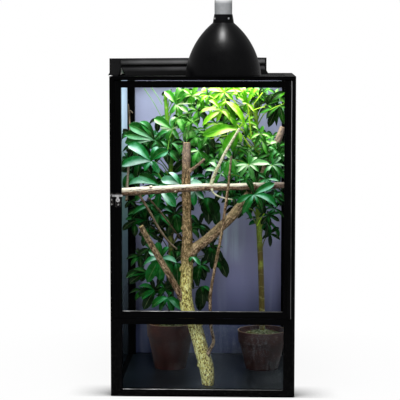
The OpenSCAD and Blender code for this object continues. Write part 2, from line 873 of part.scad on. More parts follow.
// One reflector wing: a lip on the housing's recess, a slope and a foot flange
module bar_wing(side) {
    root = bar_w / 2 - recess_in;
    foot = bar_w / 2 + wing_reach;
    color("#2a2b2d") along_bar(bar_cap_t + 2, bar_l - bar_cap_t - 2)
        polygon([for (p = [
            [root, recess_z1 - hair], [root, recess_z0 - 1], [foot - wing_t, 0],
            [foot + wing_flange, 0], [foot + wing_flange, wing_t], [foot, wing_t],
            [root + wing_t, recess_z0], [root + wing_t, recess_z1 - hair]
        ]) [side * p[0], p[1]]]);
}

module bar_front_wing() {
    bar_wing(-1);
}

module bar_back_wing() {
    bar_wing(1);
}

// End cap with round lower corners
module bar_cap_section() {
    half = bar_w / 2;
    corner = 12;
    translate([-half, corner]) square([2 * half, bar_h - corner]);
    translate([-half + corner, 0]) square([2 * (half - corner), bar_h]);
    for (side = [-1, 1]) translate([side * (half - corner), corner]) circle(r = corner);
}

module bar_left_cap() {
    color("#0e0e0f") along_bar(0, bar_cap_t) bar_cap_section();
}

module bar_right_cap() {
    color("#0e0e0f") difference() {
        along_bar(bar_l - bar_cap_t, bar_l) bar_cap_section();
        along_bar(bar_l - bar_cap_t - over, bar_l + over)
            translate([0, bar_h - 12]) circle(d = 8);
    }
}

module tube_holders() {
    color("#f0f0ee") difference() {
        for (x = [bar_cap_t, bar_l - bar_cap_t - holder_l])
            along_bar(x, x + holder_l)
                translate([-holder_half, tube_z - 9]) square([2 * holder_half, recess_z0 - tube_z + 9]);
        along_bar(bar_cap_t + holder_l - rotor_l - hair, bar_l - bar_cap_t - holder_l + rotor_l + hair)
            translate([0, tube_z]) circle(r = rotor_r + rotor_play);
    }
}

module tube() {
    x0 = bar_cap_t + holder_l + hair;
    x1 = bar_l - x0;
    color("#f6f7f8") {
        along_bar(x0, x1) translate([0, tube_z]) circle(d = tube_d);
        along_bar(x0 - rotor_l, x1 + rotor_l) translate([0, tube_z]) circle(r = rotor_r);
    }
}

// Branches

// A limb through the points of a path, each [x, y, z, radius]
module limb(path, sides = 12) {
    for (i = [0 : len(path) - 2]) hull() for (p = [path[i], path[i + 1]])
        translate([p[0], p[1], p[2]]) sphere(r = p[3], $fn = sides);
}

module climbing_branch() {
    foot = trunk_path[0];
    color("#8a7a45") intersection() {
        union() {
            limb(trunk_path);
            limb(left_arm_path, 10);
            limb(right_arm_path);
            limb(side_twig_path, 8);
            limb(long_twig_path, 8);
            translate([foot[0], foot[1], base_h]) cylinder(h = foot[2] - base_h + over, r = foot[3], $fn = 12);
        }
        translate([-half_w, -half_d, base_h]) cube([cab_w, cab_d, cab_h]);
    }
}

// Branch wedged from side glass to side glass, resting in front of the climbing branch
module cross_branch() {
    color("#9a7c5c") intersection() {
        union() {
            limb(concat([cross_left_end], cross_path, [cross_right_end]));
            limb(cross_shoot_path, 8);
            limb(drop_twig_path, 8);
        }
        translate([-half_w + side_glass_inset + side_glass_t, -half_d, 0])
            cube([cab_w - 2 * (side_glass_inset + side_glass_t), cab_d, cab_h]);
    }
}

// Pots and plants

// Pot standing at the origin: r and h of its rim, a collar and a tapered body
module pot(r, h) {
    foot_r = r * pot_foot;
    neck = h * (1 - collar_share);
    rotate_extrude() polygon([
        [0, 0], [foot_r, 0], [r - collar_step, neck], [r - 2, neck], [r, h - 2], [r, h],
        [r - pot_wall, h], [r - collar_step - pot_wall, neck],
        [foot_r - pot_wall, pot_wall], [0, pot_wall]
    ]);
}

// Soil in a pot of rim radius r and height h, its top soil_drop under the rim
module soil(r, h) {
    neck = h * (1 - collar_share);
    neck_r = r - collar_step - pot_wall - soil_play;
    foot_in_r = r * pot_foot - pot_wall - soil_play;
    top_r = neck_r + collar_step * (h - soil_drop - neck) / (h - neck);
    root_r = stem_root_r + hair;
    root_z = h - soil_drop - stem_root_l - root_r;
    rotate_extrude() polygon([
        [0, pot_wall], [foot_in_r, pot_wall], [neck_r, neck],
        [top_r, h - soil_drop], [root_r, h - soil_drop], [root_r, root_z], [0, root_z]
    ]);
}

module at_left_pot() {
    translate([left_pot_x, pot_back, base_h]) children();
}

module at_right_pot() {
    translate([right_pot_x, pot_back, base_h]) children();
}

module left_pot() {
    color("#3f2019") at_left_pot() pot(left_pot_d / 2, left_pot_h);
}

module right_pot() {
    color("#3f2019") at_right_pot() pot(right_pot_d / 2, right_pot_h);
}

module left_soil() {
    color("#241c14") at_left_pot() soil(left_pot_d / 2, left_pot_h);
}

module right_soil() {
    color("#241c14") at_right_pot() soil(right_pot_d / 2, right_pot_h);
}

// Outline of a leaf whorl: leaflets round a centre, each a kite
module whorl_outline(r) {
    leaflet = [[0.2, -0.5], [0.62, -0.24], [1, 0], [0.62, 0.24]];
    polygon([for (i = [0 : leaflets - 1], p = leaflet)
        let (a = 360 / leaflets * (i + p[1])) [r * p[0] * cos(a), r * p[0] * sin(a)]]);
}

// One whorl on its stalk, from the stem's point foot to w = [x, y, z, r, lean x, lean y]
module whorl(w, foot) {
    reach = [w[0] - foot[0], w[1] - foot[1], w[2] - foot[2]];
    length = norm(reach);
    translate([w[0], w[1], w[2]]) rotate([-w[5], w[4], 0])
        linear_extrude(leaf_sheet_t) whorl_outline(w[3]);
    translate(foot) rotate([0, acos(reach[2] / length), atan2(reach[1], reach[0])])
        cylinder(h = length + leaf_sheet_t / 2, r = petiole_r, $fn = 6);
}

// Height on a stem, straight between its points
function stem_at(stem, z) = [lookup(z, [for (p = stem) [p[2], p[0]]]),
    lookup(z, [for (p = stem) [p[2], p[1]]]), z];

// The room inside the glass and under the mesh, less the leaves' margin
module leaf_room() {
    room_x = half_w - side_glass_inset - side_glass_t - leaf_margin;
    room_y = half_d - back_panel_inset - back_panel_t - leaf_margin;
    translate([-room_x, stop_y + leaf_margin, base_h])
        cube([2 * room_x, room_y - stop_y - leaf_margin, crown_z - leaf_margin - base_h]);
}

// A plant in its pot's frame: the stem with its root, forks, and whorls whose stalks rise
// from the stem a little below them
module plant(stem, forks, whorls, soil_z) {
    root = [[0, 0, soil_z - stem_root_l, stem_root_r], [0, 0, soil_z + 4, stem_root_r - hair]];
    whole = concat(root, stem);
    stalk_drop = 55;
    limb(whole, 10);
    for (fork = forks) limb(fork, 8);
    for (w = whorls) whorl(w, stem_at(whole, max(soil_z + 30, w[2] - stalk_drop)));
}

module left_plant() {
    color("#1f7a35") intersection() {
        translate([left_pot_x, pot_back, 0]) plant(left_stem, [left_fork], left_whorls, left_soil_z);
        leaf_room();
    }
}

module right_plant() {
    color("#86b32a") intersection() {
        translate([right_pot_x, pot_back, 0]) plant(right_stem, [right_fork], right_whorls, right_soil_z);
        leaf_room();
    }
}

front_left_post();
front_right_post();
back_left_post();
back_right_post();
bottom_front_rail();
bottom_back_rail();
bottom_left_rail();
bottom_right_rail();
top_front_rail();
top_back_rail();
top_left_rail();
top_right_rail();
middle_rail();
floor_brace();
floor_panel();
left_glass();
right_glass();
back_panel();
lower_glass();
lower_left_stile();
lower_right_stile();
screen_bars();
screen_mesh();
door_left_stile();
door_right_stile();
door_top_rail();
door_bottom_rail();
door_glass();
hinge_post_leaf();
hinge_door_leaf();
hinge_pin();
latch_keeper();
latch_keeper_screws();
latch_plate();
latch_plate_screws();
latch_rivet();
latch_hook();
dome_shell();
dome_collar();
collar_rivets();
lamp_socket();
lampholder();
lamp_grommet();
bulb();
bar_housing();
bar_pan();
bar_front_wing();
bar_back_wing();
bar_left_cap();
bar_right_cap();
tube_holders();
tube();
climbing_branch();
cross_branch();
left_pot();
left_soil();
left_plant();
right_pot();
right_soil();
right_plant();
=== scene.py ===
"""Looks of the planted terrarium: every finish, the bark, the leaves, the soil and the wire mesh,
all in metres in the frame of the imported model."""

import json
import math
import random

import bmesh
import bpy
import numpy as np
from mathutils import Matrix, Vector, noise


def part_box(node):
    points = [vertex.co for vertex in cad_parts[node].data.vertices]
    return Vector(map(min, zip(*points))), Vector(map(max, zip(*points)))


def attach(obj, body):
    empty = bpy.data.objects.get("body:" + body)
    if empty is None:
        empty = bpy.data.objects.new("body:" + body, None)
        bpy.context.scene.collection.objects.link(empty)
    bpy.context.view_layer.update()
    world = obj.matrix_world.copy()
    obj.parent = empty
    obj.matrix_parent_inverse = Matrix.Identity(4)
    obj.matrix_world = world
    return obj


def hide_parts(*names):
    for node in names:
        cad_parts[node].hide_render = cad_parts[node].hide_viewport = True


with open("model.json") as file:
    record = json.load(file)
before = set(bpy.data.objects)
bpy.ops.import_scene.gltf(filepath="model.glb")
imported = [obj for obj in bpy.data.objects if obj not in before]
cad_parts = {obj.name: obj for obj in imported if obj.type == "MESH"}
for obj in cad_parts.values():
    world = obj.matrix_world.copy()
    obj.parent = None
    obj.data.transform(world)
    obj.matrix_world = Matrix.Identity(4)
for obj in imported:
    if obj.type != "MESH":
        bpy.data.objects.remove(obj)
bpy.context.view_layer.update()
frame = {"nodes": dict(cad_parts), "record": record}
nodes = frame["nodes"]
MM = 0.001
CABINET_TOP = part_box("top_front_rail")[1].z
CABINET_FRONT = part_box("front_left_post")[0].y


def drop_selection():
    """Nothing stays selected before a piece is begun."""
    if bpy.context.mode != "OBJECT":
        bpy.ops.object.mode_set(mode="OBJECT")
    bpy.ops.object.select_all(action="DESELECT")


def take(piece):
    """The piece alone is selected and active."""
    drop_selection()
    piece.select_set(True)
    bpy.context.view_layer.objects.active = piece


def put_in(name, data):
    """A new object of this name in the scene."""
    made = bpy.data.objects.new(name, data)
    bpy.context.scene.collection.objects.link(made)
    return made


def settle(piece):
    """The piece's place goes into its mesh, and its object sits at the origin."""
    take(piece)
    bpy.ops.object.transform_apply(location=True, rotation=True, scale=True)


def open_up(piece):
    """The piece goes into edit mode with all of it selected."""
    take(piece)
    bpy.ops.object.mode_set(mode="EDIT")
    bpy.ops.mesh.select_all(action="SELECT")


def close_up():
    """Edit mode ends."""
    bpy.ops.object.mode_set(mode="OBJECT")


def press(piece, kind, **settings):
    """A modifier is added with these settings and applied."""
    take(piece)
    modifier = piece.modifiers.new(kind.title(), kind)
    for key, value in settings.items():
        setattr(modifier, key, value)
    bpy.ops.object.modifier_apply(modifier=modifier.name)


def join(name, parts):
    """Several meshes become one piece of this name."""
    take(parts[0])
    for part in parts[1:]:
        part.select_set(True)
    if len(parts) > 1:
        bpy.ops.object.join()
    whole = bpy.context.view_layer.objects.active
    whole.name = name
    whole.data.name = name
    return whole


def smooth(piece, angle):
    """Faces that meet at less than this angle are shaded as one surface."""
    take(piece)
    bpy.ops.object.shade_smooth_by_angle(angle=math.radians(angle))


def face_outward(piece):
    """Doubled points are merged and every face is turned outwards."""
    open_up(piece)
    bpy.ops.mesh.remove_doubles(threshold=0.00002)
    bpy.ops.mesh.normals_make_consistent(inside=False)
    close_up()


def points_of(piece):
    """The piece's points as an array."""
    spots = np.empty(len(piece.data.vertices) * 3)
    piece.data.vertices.foreach_get("co", spots)
    return spots.reshape(-1, 3)


def move_points(piece, spots):
    """The piece's points go to these places."""
    piece.data.vertices.foreach_set("co", np.asarray(spots, dtype=np.float32).ravel())
    piece.data.update()


def outward_of(piece):
    """The piece's point normals as an array."""
    out = np.empty(len(piece.data.vertices) * 3, dtype=np.float32)
    piece.data.vertex_normals.foreach_get("vector", out)
    return out.reshape(-1, 3).astype(float)


def mark(mesh, name, values):
    """Each point of a mesh carries a value of this name."""
    if name not in mesh.attributes:
        mesh.attributes.new(name, "FLOAT", "POINT")
    mesh.attributes[name].data.foreach_set("value", np.asarray(values, dtype=np.float32))


def frame_body(node):
    """The body that a CAD node rides on."""
    return next(body for body, members in frame["record"]["behaviour"]["bodies"].items()
                if node in members)


# Finishes


def paint(code):
    """A colour written as six hex digits, as light values."""
    shares = [int(code[i:i + 2], 16) / 255 for i in (1, 3, 5)]
    return tuple(s / 12.92 if s <= 0.04045 else ((s + 0.055) / 1.055) ** 2.4 for s in shares) + (1.0,)


def tone_of(value):
    """A written colour as light values; a socket stays a socket."""
    return paint(value) if isinstance(value, str) else value


def feed(tree, socket, value):
    """A node's input is linked to another node's output, or set to a plain value."""
    if isinstance(value, bpy.types.NodeSocket):
        tree.links.new(value, socket)
    else:
        socket.default_value = value


def reckon(tree, kind, *values):
    """The result of one sum on these values or sockets."""
    made = tree.nodes.new("ShaderNodeMath")
    made.operation = kind
    for socket, value in zip(made.inputs, values):
        feed(tree, socket, value)
    return made.outputs["Value"]


def scale_to(tree, value, a, b, low, high):
    """The value from a to b becomes low to high, held at the ends."""
    made = tree.nodes.new("ShaderNodeMapRange")
    for socket, given in zip(made.inputs, (value, a, b, low, high)):
        feed(tree, socket, given)
    return made.outputs["Result"]


class Finish:
    """A material while it is mixed: its shader, and short calls for the nodes that feed it."""

    def __init__(self, name, rough=0.5, metal=0.0, shine=0.5):
        self.material = bpy.data.materials.new(name)
        self.material.use_nodes = True
        self.tree = self.material.node_tree
        self.shader = self.tree.nodes["Principled BSDF"]
        self.shader.inputs["Roughness"].default_value = rough
        self.shader.inputs["Metallic"].default_value = metal
        self.shader.inputs["Specular IOR Level"].default_value = shine

    def add(self, kind, **links):
        """A node of this kind with its inputs linked or set by name."""
        made = self.tree.nodes.new("ShaderNode" + kind)
        for key, value in links.items():
            feed(self.tree, made.inputs[key.replace("_", " ")], value)
        return made

    def spot(self, stretch=(1, 1, 1), own=None):
        """The object's coordinates, or the piece's own attribute, stretched."""
        raw = self.own(own, "Vector") if own else self.add("TexCoord").outputs["Object"]
        return self.add("Mapping", Vector=raw, Scale=stretch).outputs["Vector"]

    def own(self, name, output="Fac"):
        """What the piece carries on its points under this name."""
        source = self.add("Attribute")
        source.attribute_name = name
        return source.outputs[output]

    def grain(self, spot, size, detail=4.0, rough=0.55, warp=0.0):
        """Cloudy noise whose lumps are about size metres across."""
        made = self.add("TexNoise", Vector=spot, Scale=1 / size, Detail=detail, Roughness=rough,
                        Distortion=warp)
        return made.outputs["Fac"]

    def cells(self, spot, size, feature="F1"):
        """How far off the nearest of many scattered points is, or the edge between two of them."""
        made = self.add("TexVoronoi", Vector=spot, Scale=1 / size)
        made.feature = feature
        return made.outputs["Distance"]

    def axis(self, spot, name):
        """One coordinate of a place."""
        return self.add("SeparateXYZ", Vector=spot).outputs[name]

    def turned(self, name):
        """How far the surface faces along one axis, from -1 to 1."""
        return self.axis(self.add("NewGeometry").outputs["Normal"], name)

    def sum(self, kind, *values):
        """One sum on these values or sockets."""
        return reckon(self.tree, kind, *values)

    def ease(self, value, a, b, low=0.0, high=1.0):
        """The value from a to b becomes low to high, held at the ends."""
        return scale_to(self.tree, value, a, b, low, high)

    def vary(self, cloud, low=0.0, high=1.0):
        """Cloudy noise, most of which lies between 0.3 and 0.7, spread from low to high."""
        return self.ease(cloud, 0.3, 0.7, low, high)

    def off(self, value, place):
        """How far a value is from a place, on either side."""
        return self.sum("ABSOLUTE", self.sum("SUBTRACT", value, place))

    def ramp(self, value, *stops):
        """Colours along a value, each stop a place and a colour."""
        made = self.add("ValToRGB", Fac=value)
        ramp = made.color_ramp
        while len(ramp.elements) < len(stops):
            ramp.elements.new(0.5)
        for element, (place, colour) in zip(ramp.elements, stops):
            element.position = place
            element.color = paint(colour)
        return made.outputs["Color"]

    def mix(self, share, low, high, kind="MIX"):
        """Two colours mixed by a share."""
        made = self.tree.nodes.new("ShaderNodeMix")
        made.data_type = "RGBA"
        made.blend_type = kind
        for name, value in (("Factor_Float", share), ("A_Color", low), ("B_Color", high)):
            socket = next(s for s in made.inputs if s.identifier == name)
            feed(self.tree, socket, tone_of(value))
        return next(s for s in made.outputs if s.identifier == "Result_Color")

    def blend(self, share, low, high):
        """Two shaders mixed by a share."""
        made = self.add("MixShader", Fac=share)
        feed(self.tree, made.inputs[1], low.outputs[0])
        feed(self.tree, made.inputs[2], high.outputs[0])
        return made

    def show(self, shader):
        """This shader is the one that is seen."""
        feed(self.tree, self.tree.nodes["Material Output"].inputs["Surface"], shader.outputs[0])

    def colour(self, value):
        """The colour of the surface."""
        feed(self.tree, self.shader.inputs["Base Color"], tone_of(value))

    def rough(self, value):
        """How matt the surface is: 0 a mirror, 1 chalk."""
        feed(self.tree, self.shader.inputs["Roughness"], value)

    def relief(self, height, depth, strength=1.0):
        """Bumps of this depth in metres."""
        made = self.add("Bump", Height=height, Strength=strength, Distance=depth)
        feed(self.tree, self.shader.inputs["Normal"], made.outputs["Normal"])

    def on(self, *pieces):
        """The finish goes on whole pieces or named CAD nodes, in place of what they had."""
        for piece in pieces:
            mesh = (nodes[piece] if isinstance(piece, str) else piece).data
            mesh.materials.clear()
            mesh.materials.append(self.material)


# Camera, light and floor


def set_camera():
    """The photograph's view: about four metres in front, a little right of the middle."""
    lens = bpy.data.cameras.new("camera")
    lens.lens = 135.55
    lens.sensor_width = 36
    lens.shift_y = -0.04
    lens.clip_end = 100
    camera = put_in("camera", lens)
    camera.location = (0.1444, -4.2812, 0.9572)
    camera.rotation_euler = (math.radians(90 - 5.323), 0, math.radians(2.146))
    bpy.context.scene.camera = camera


def softbox(name, place, aim, size, power, mirrored=True):
    """A rectangular studio lamp that faces a point, with or without its mirror image in gloss."""
    lamp = bpy.data.lights.new(name, "AREA")
    lamp.shape = "RECTANGLE"
    lamp.size, lamp.size_y = size
    lamp.energy = power
    stand = put_in(name, lamp)
    stand.visible_glossy = mirrored
    stand.visible_camera = False
    stand.location = place
    stand.rotation_euler = (Vector(aim) - Vector(place)).to_track_quat("-Z", "Y").to_euler()


def set_light():
    """Soft lamps in front, at the left and above, the lamps' own glow, and a seen-white world."""
    softbox("front_box", (0.5, -3.6, 2.3), (0, 0, 0.5), (1.3, 1.3), 78, mirrored=False)
    softbox("left_box", (-2.7, -2.2, 1.7), (0, 0, 0.5), (1.0, 1.8), 22, mirrored=False)
    softbox("top_box", (-0.02, -0.6, 2.7), (0.05, -0.1, 0.4), (0.4, 0.4), 44)
    below_mesh = CABINET_TOP - 0.0045
    softbox("lamp_glow", (0.02, -0.03, below_mesh), (0.02, -0.03, 0), (0.42, 0.38), 2.3)
    world = bpy.data.worlds.new("studio")
    bpy.context.scene.world = world
    world.use_nodes = True
    tree = world.node_tree
    sky = tree.nodes["Background"]
    as_light, as_seen = 0.2, 1.0
    feed(tree, sky.inputs["Strength"], scale_to(tree, see_white(tree), 0.0, 1.0, as_light, as_seen))
    sky.inputs["Color"].default_value = (1, 1, 1, 1)


def see_white(tree):
    """1 where the camera looks straight or through glass, and a little in a mirror image."""
    rays = tree.nodes.new("ShaderNodeLightPath").outputs
    mirrored = reckon(tree, "MULTIPLY", rays["Is Glossy Ray"], 0.12)
    straight = reckon(tree, "MAXIMUM", rays["Is Camera Ray"], rays["Is Transmission Ray"])
    return reckon(tree, "MAXIMUM", straight, mirrored)


def lay_floor():
    """A plain pale floor, seen evenly white, with the soft shadow of the cabinet by its front painted
    in from ambient occlusion.
    """
    drop_selection()
    bpy.ops.mesh.primitive_plane_add(size=30, location=(0, 0, -0.0005))
    floor = bpy.context.active_object
    floor.name = "studio_floor"
    f = Finish("floor_white", rough=0.9, shine=0.05)
    f.colour("#d8d8d8")
    # Painted shadow: ambient occlusion darkens the seen white near the cabinet's front
    corner = f.add("AmbientOcclusion", Distance=0.13)
    corner.samples = 8
    depth = f.axis(f.spot(), "Y")
    near_front = f.ease(depth, CABINET_FRONT + 0.14, CABINET_FRONT + 0.03)
    beneath = f.ease(depth, CABINET_FRONT - 0.012, CABINET_FRONT - 0.002)
    covered = f.sum("SUBTRACT", 1.0, corner.outputs["AO"])
    painted_shade = f.sum("MULTIPLY", covered, f.sum("MULTIPLY", near_front, beneath))
    glow = f.add("Emission", Strength=f.sum("SUBTRACT", 1.0, f.sum("MULTIPLY", painted_shade, 1.5)))
    away = f.add("VectorMath", Vector=f.spot())
    away.operation = "LENGTH"
    clear = f.ease(away.outputs["Value"], 0.35, 0.9, 0.94, 1.0)
    f.show(f.blend(f.sum("MULTIPLY", see_white(f.tree), clear), f.shader, glow))
    f.on(floor)


# Frame, panels and glass


def black_frame(name, dust_top, stretch):
    """Black anodised profile: fine drawn lines along it, and faint dust low down."""
    f = Finish(name, rough=0.4, shine=0.02)
    lines = f.grain(f.spot(stretch), 0.0035, detail=6)
    cloud = f.grain(f.spot(), 0.06, detail=3)
    low = f.ease(f.axis(f.spot(), "Z"), dust_top, 0.0, 0.0, 0.5)
    dust = f.sum("MULTIPLY", f.ease(f.grain(f.spot(), 0.004, detail=8), 0.52, 0.75), low)
    f.colour(f.mix(dust, f.mix(f.vary(lines), "#020202", "#050506"), "#2a2a29"))
    both = f.sum("ADD", f.sum("MULTIPLY", lines, 0.5), f.sum("MULTIPLY", cloud, 0.5))
    f.rough(f.vary(both, 0.28, 0.46))
    f.relief(lines, 0.00008, 0.5)
    return f


def window(name, tint, painted_lit_edge, painted_dark_edge, mirror, haze=None, haze_share=0.0):
    """Clear glass: what is behind shows through it, and towards grazing it turns to its edge tint,
    which is painted dark low down and pale high up, as the lamps light it.
    """
    f = Finish(name, rough=0.03)
    # Painted light and shade: the grazing edge tint darkens towards the bottom and pales towards the
    # top
    height = f.ease(f.axis(f.spot(), "Z"), 0.0, CABINET_TOP)
    tone = f.ramp(height, (0.0, "#06080b"), (0.25, "#30363d"), (0.45, painted_dark_edge),
                  (0.62, "#56706a"), (0.84, painted_lit_edge), (1.0, painted_lit_edge))
    edge = f.add("AddShader")
    feed(f.tree, edge.inputs[0], f.add("BsdfDiffuse", Color=tone).outputs[0])
    feed(f.tree, edge.inputs[1], f.add("BsdfTranslucent", Color=tone).outputs[0])
    grazing = f.add("LayerWeight", Blend=0.5).outputs["Facing"]
    body = f.blend(f.ease(grazing, 0.72, 0.89), f.add("BsdfTransparent", Color=paint(tint)), edge)
    if haze:
        veil = f.add("BsdfDiffuse", Color=paint("#aab4ba"))
        body = f.blend(f.sum("MULTIPLY", haze(f), haze_share), body, veil)
    gloss = f.add("BsdfGlossy", Color=(1, 1, 1, 1), Roughness=0.02)
    bounce = f.sum("MULTIPLY", f.sum("POWER", grazing, 4.0), mirror)
    f.show(f.blend(bounce, body, gloss))
    return f


def water_marks(f):
    """Dried specks and drops in uneven patches on a thin film, with none at the far left."""
    specks = f.ease(f.cells(f.spot(), 0.0036), 0.38, 0.2, 0.0, 0.7)
    drops = f.ease(f.cells(f.spot(), 0.013), 0.15, 0.1, 0.0, 0.8)
    cloud = f.grain(f.spot(), 0.075, detail=3)
    side = f.ease(f.axis(f.spot(), "X"), -0.14, -0.05)
    film = f.ease(cloud, 0.4, 0.7, 0.0, 0.012)
    dots = f.sum("MULTIPLY", f.sum("MAXIMUM", specks, drops), f.ease(cloud, 0.36, 0.6, 0.15, 0.8))
    return f.sum("MULTIPLY", f.sum("ADD", dots, film), side)


def back_board():
    """Lavender backing with painted light and shade: pale high up where the lamps light it, slate low
    down; soft paler streaks, and a painted sheen streak.
    """
    f = Finish("lavender_board", rough=0.55, shine=0.25)
    # Painted light and shade: the colour pales towards the lamps above and darkens low down
    height = f.ease(f.axis(f.spot(), "Z"), 0.0, CABINET_TOP)
    tone = f.ramp(height, (0.0, "#353b58"), (0.14, "#4d5276"), (0.28, "#9190ba"), (0.45, "#bbb8e2"),
                  (0.62, "#bcbfe6"), (0.82, "#bcc0e2"), (0.92, "#adb2d2"), (1.0, "#9496b0"))
    streak = f.grain(f.spot((2.6, 1, 0.3)), 0.12, detail=2)
    warm = f.mix(f.ease(streak, 0.48, 0.75, 0.0, 0.3), tone, "#c9cbe2")
    # Painted sheen: a pale blue streak where the board catches the light
    sheen_x, sheen_z = 0.062, 0.385
    beside = f.ease(f.off(f.axis(f.spot(), "X"), sheen_x), 0.055, 0.015)
    level = f.ease(f.off(f.axis(f.spot(), "Z"), sheen_z), 0.1, 0.02)
    thin = f.ease(f.grain(f.spot((1, 1, 0.07)), 0.016, detail=3), 0.4, 0.6, 0.2, 1.0)
    warm = f.mix(f.sum("MULTIPLY", f.sum("MULTIPLY", beside, level), thin), warm, "#dce8ff")
    shade = f.ease(f.grain(f.spot((1, 1, 0.6)), 0.2, detail=2), 0.4, 0.75, 0.0, 0.35)
    f.colour(f.mix(shade, warm, "#4a4a6a", "MULTIPLY"))
    f.rough(f.vary(streak, 0.42, 0.62))
    f.relief(f.grain(f.spot(), 0.0012, detail=3), 0.00006, 0.35)
    return f


def floor_board():
    """Blue-black floor sheet with crumbs of soil on it."""
    f = Finish("floor_sheet", rough=0.34, shine=0.3)
    crumbs = f.ease(f.grain(f.spot(), 0.0032, detail=7, rough=0.7), 0.6, 0.66)
    patches = f.ease(f.grain(f.spot(), 0.07, detail=4), 0.4, 0.62)
    dirt = f.sum("MULTIPLY", crumbs, patches)
    f.colour(f.mix(dirt, f.mix(f.vary(f.grain(f.spot(), 0.05)), "#0c1114", "#161f26"), "#6d7472"))
    f.rough(f.ease(dirt, 0.0, 1.0, 0.3, 0.8))
    f.relief(dirt, 0.0006, 0.8)
    return f


def dress_cabinet():
    """Black profile on the bars, its drawn lines along each bar, and a finish for every panel."""
    black_frame("black_profile", 0.25, (1, 1, 0.03)).on(
        "front_left_post", "front_right_post", "back_left_post", "back_right_post",
        "lower_left_stile", "lower_right_stile", "door_left_stile", "door_right_stile")
    black_frame("black_profile_across", 0.12, (0.03, 1, 1)).on(
        "bottom_front_rail", "bottom_back_rail", "top_front_rail", "top_back_rail", "middle_rail",
        "door_top_rail", "door_bottom_rail", "screen_bars")
    black_frame("black_profile_inward", 0.12, (1, 0.03, 1)).on(
        "bottom_left_rail", "bottom_right_rail", "top_left_rail", "top_right_rail")
    window("side_glass", "#f7fbfa", "#a4b6ca", "#44535c", 0.3).on("left_glass", "right_glass")
    window("door_pane", "#fbfdfc", "#9fc0c8", "#22363a", 0.4).on("door_glass")
    window("lower_pane", "#f4f7f8", "#9fc0c8", "#22363a", 0.4, water_marks, 0.34).on("lower_glass")
    back_board().on("back_panel")
    floor_board().on("floor_panel")


# Branches


def smooth_route(route, steps):
    """Points on one flowing line through a route of [x, y, z, radius], in millimetres."""
    ends = [route[0]] + list(route) + [route[-1]]
    line = []
    for a, b, c, d in zip(ends, ends[1:], ends[2:], ends[3:]):
        for i in range(steps):
            t = i / steps
            line.append([0.5 * (2 * q + (r - p) * t + (2 * p - 5 * q + 4 * r - s) * t * t
                                + (3 * q - p - 3 * r + s) * t ** 3)
                         for p, q, r, s in zip(a, b, c, d)])
    line.append(list(route[-1]))
    return line


def rod(name, line, sides):
    """A closed tube along a line of [x, y, z, radius], with flat cut ends."""
    curve = bpy.data.curves.new(name, "CURVE")
    curve.dimensions = "3D"
    curve.bevel_depth = MM
    curve.bevel_resolution = (sides - 4) // 4
    curve.use_fill_caps = True
    spline = curve.splines.new("POLY")
    spline.points.add(len(line) - 1)
    for point, (x, y, z, r) in zip(spline.points, line):
        point.co = (x * MM, y * MM, z * MM, 1)
        point.radius = r
    take(put_in(name, curve))
    bpy.ops.object.convert(target="MESH")
    made = bpy.context.view_layer.objects.active
    face_outward(made)
    return made


def along_routes(piece, lines):
    """Each point learns where it lies along the nearest limb: across, across and along, in metres.
    Each limb starts half a metre on from the last, so that no two show the same pattern."""
    spots = points_of(piece)
    best = np.full(len(spots), np.inf)
    along = np.zeros((len(spots), 3))
    limb = np.zeros(len(spots))
    start = 0.0
    for order, line in enumerate(lines):
        line = np.array(line) * MM
        side = Vector((1, 0.2, 0.1))
        for a, b in zip(line[:-1], line[1:]):
            step = b[:3] - a[:3]
            length = np.linalg.norm(step)
            heading = step / length
            side = side - Vector(heading) * side.dot(Vector(heading))
            side.normalize()
            across = np.array(side)
            other = np.cross(heading, across)
            away = spots - a[:3]
            t = np.clip(away @ heading / length, 0, 1)
            gap = away - np.outer(t * length, heading)
            far = np.linalg.norm(gap, axis=1) - (a[3] + (b[3] - a[3]) * t)
            near = far < best
            best[near] = far[near]
            limb[near] = order
            along[near, 0] = (gap @ across)[near]
            along[near, 1] = (gap @ other)[near]
            along[near, 2] = start + t[near] * length
            start += length
        start += 0.5
    made = piece.data.attributes.new("along", "FLOAT_VECTOR", "POINT")
    made.data.foreach_set("vector", along.astype(np.float32).ravel())
    mark(piece.data, "limb", limb)
    return along


def limb_orders(piece):
    """The order of the limb that each point belongs to."""
    orders = np.empty(len(piece.data.vertices), dtype=np.float32)
    piece.data.attributes["limb"].data.foreach_get("value", orders)
    return orders


def mark_cuts(piece, cuts):
    """Points on a sawn end, each end a place, a direction and a radius in mm, are marked."""
    spots = points_of(piece)
    share = np.zeros(len(spots))
    inside, outside, wider = -0.0012, 0.004, 1.25
    for place, heading, radius in cuts:
        heading = np.array(heading) / np.linalg.norm(heading)
        away = spots - np.array(place) * MM
        depth = away @ heading
        reach = np.linalg.norm(away - np.outer(depth, heading), axis=1)
        share[(depth > inside) & (depth < outside) & (reach < radius * MM * wider)] = 1
    mark(piece.data, "cut", share)
    return share


def bump(place, counts, shift=0.0):
    """Noise at a place, with about so many lumps to the metre along each axis."""
    x, y, z = [along * count for along, count in zip(place, counts)]
    return noise.noise(Vector((x, y, z + shift)))


def weather(piece, along, share, furrow, lump, swell):
    """Bark is raised in the mesh: long furrows, small lumps and slow swellings, in metres."""
    spots = points_of(piece)
    out = outward_of(piece)
    rise = np.empty(len(spots))
    full_height_from = 0.012
    for i, place in enumerate(along):
        deep = min(1.0, abs(bump(place, (260, 260, 42))) * 3.2) - 0.6
        small = bump(place, (520, 520, 240))
        slow = bump(place, (30, 30, 24), 7)
        thick = min(1.0, max(0.25, math.hypot(place[0], place[1]) / full_height_from))
        rise[i] = thick * (furrow * deep + lump * small + swell * slow)
    rise *= 1 - share
    move_points(piece, spots + out * rise[:, None])


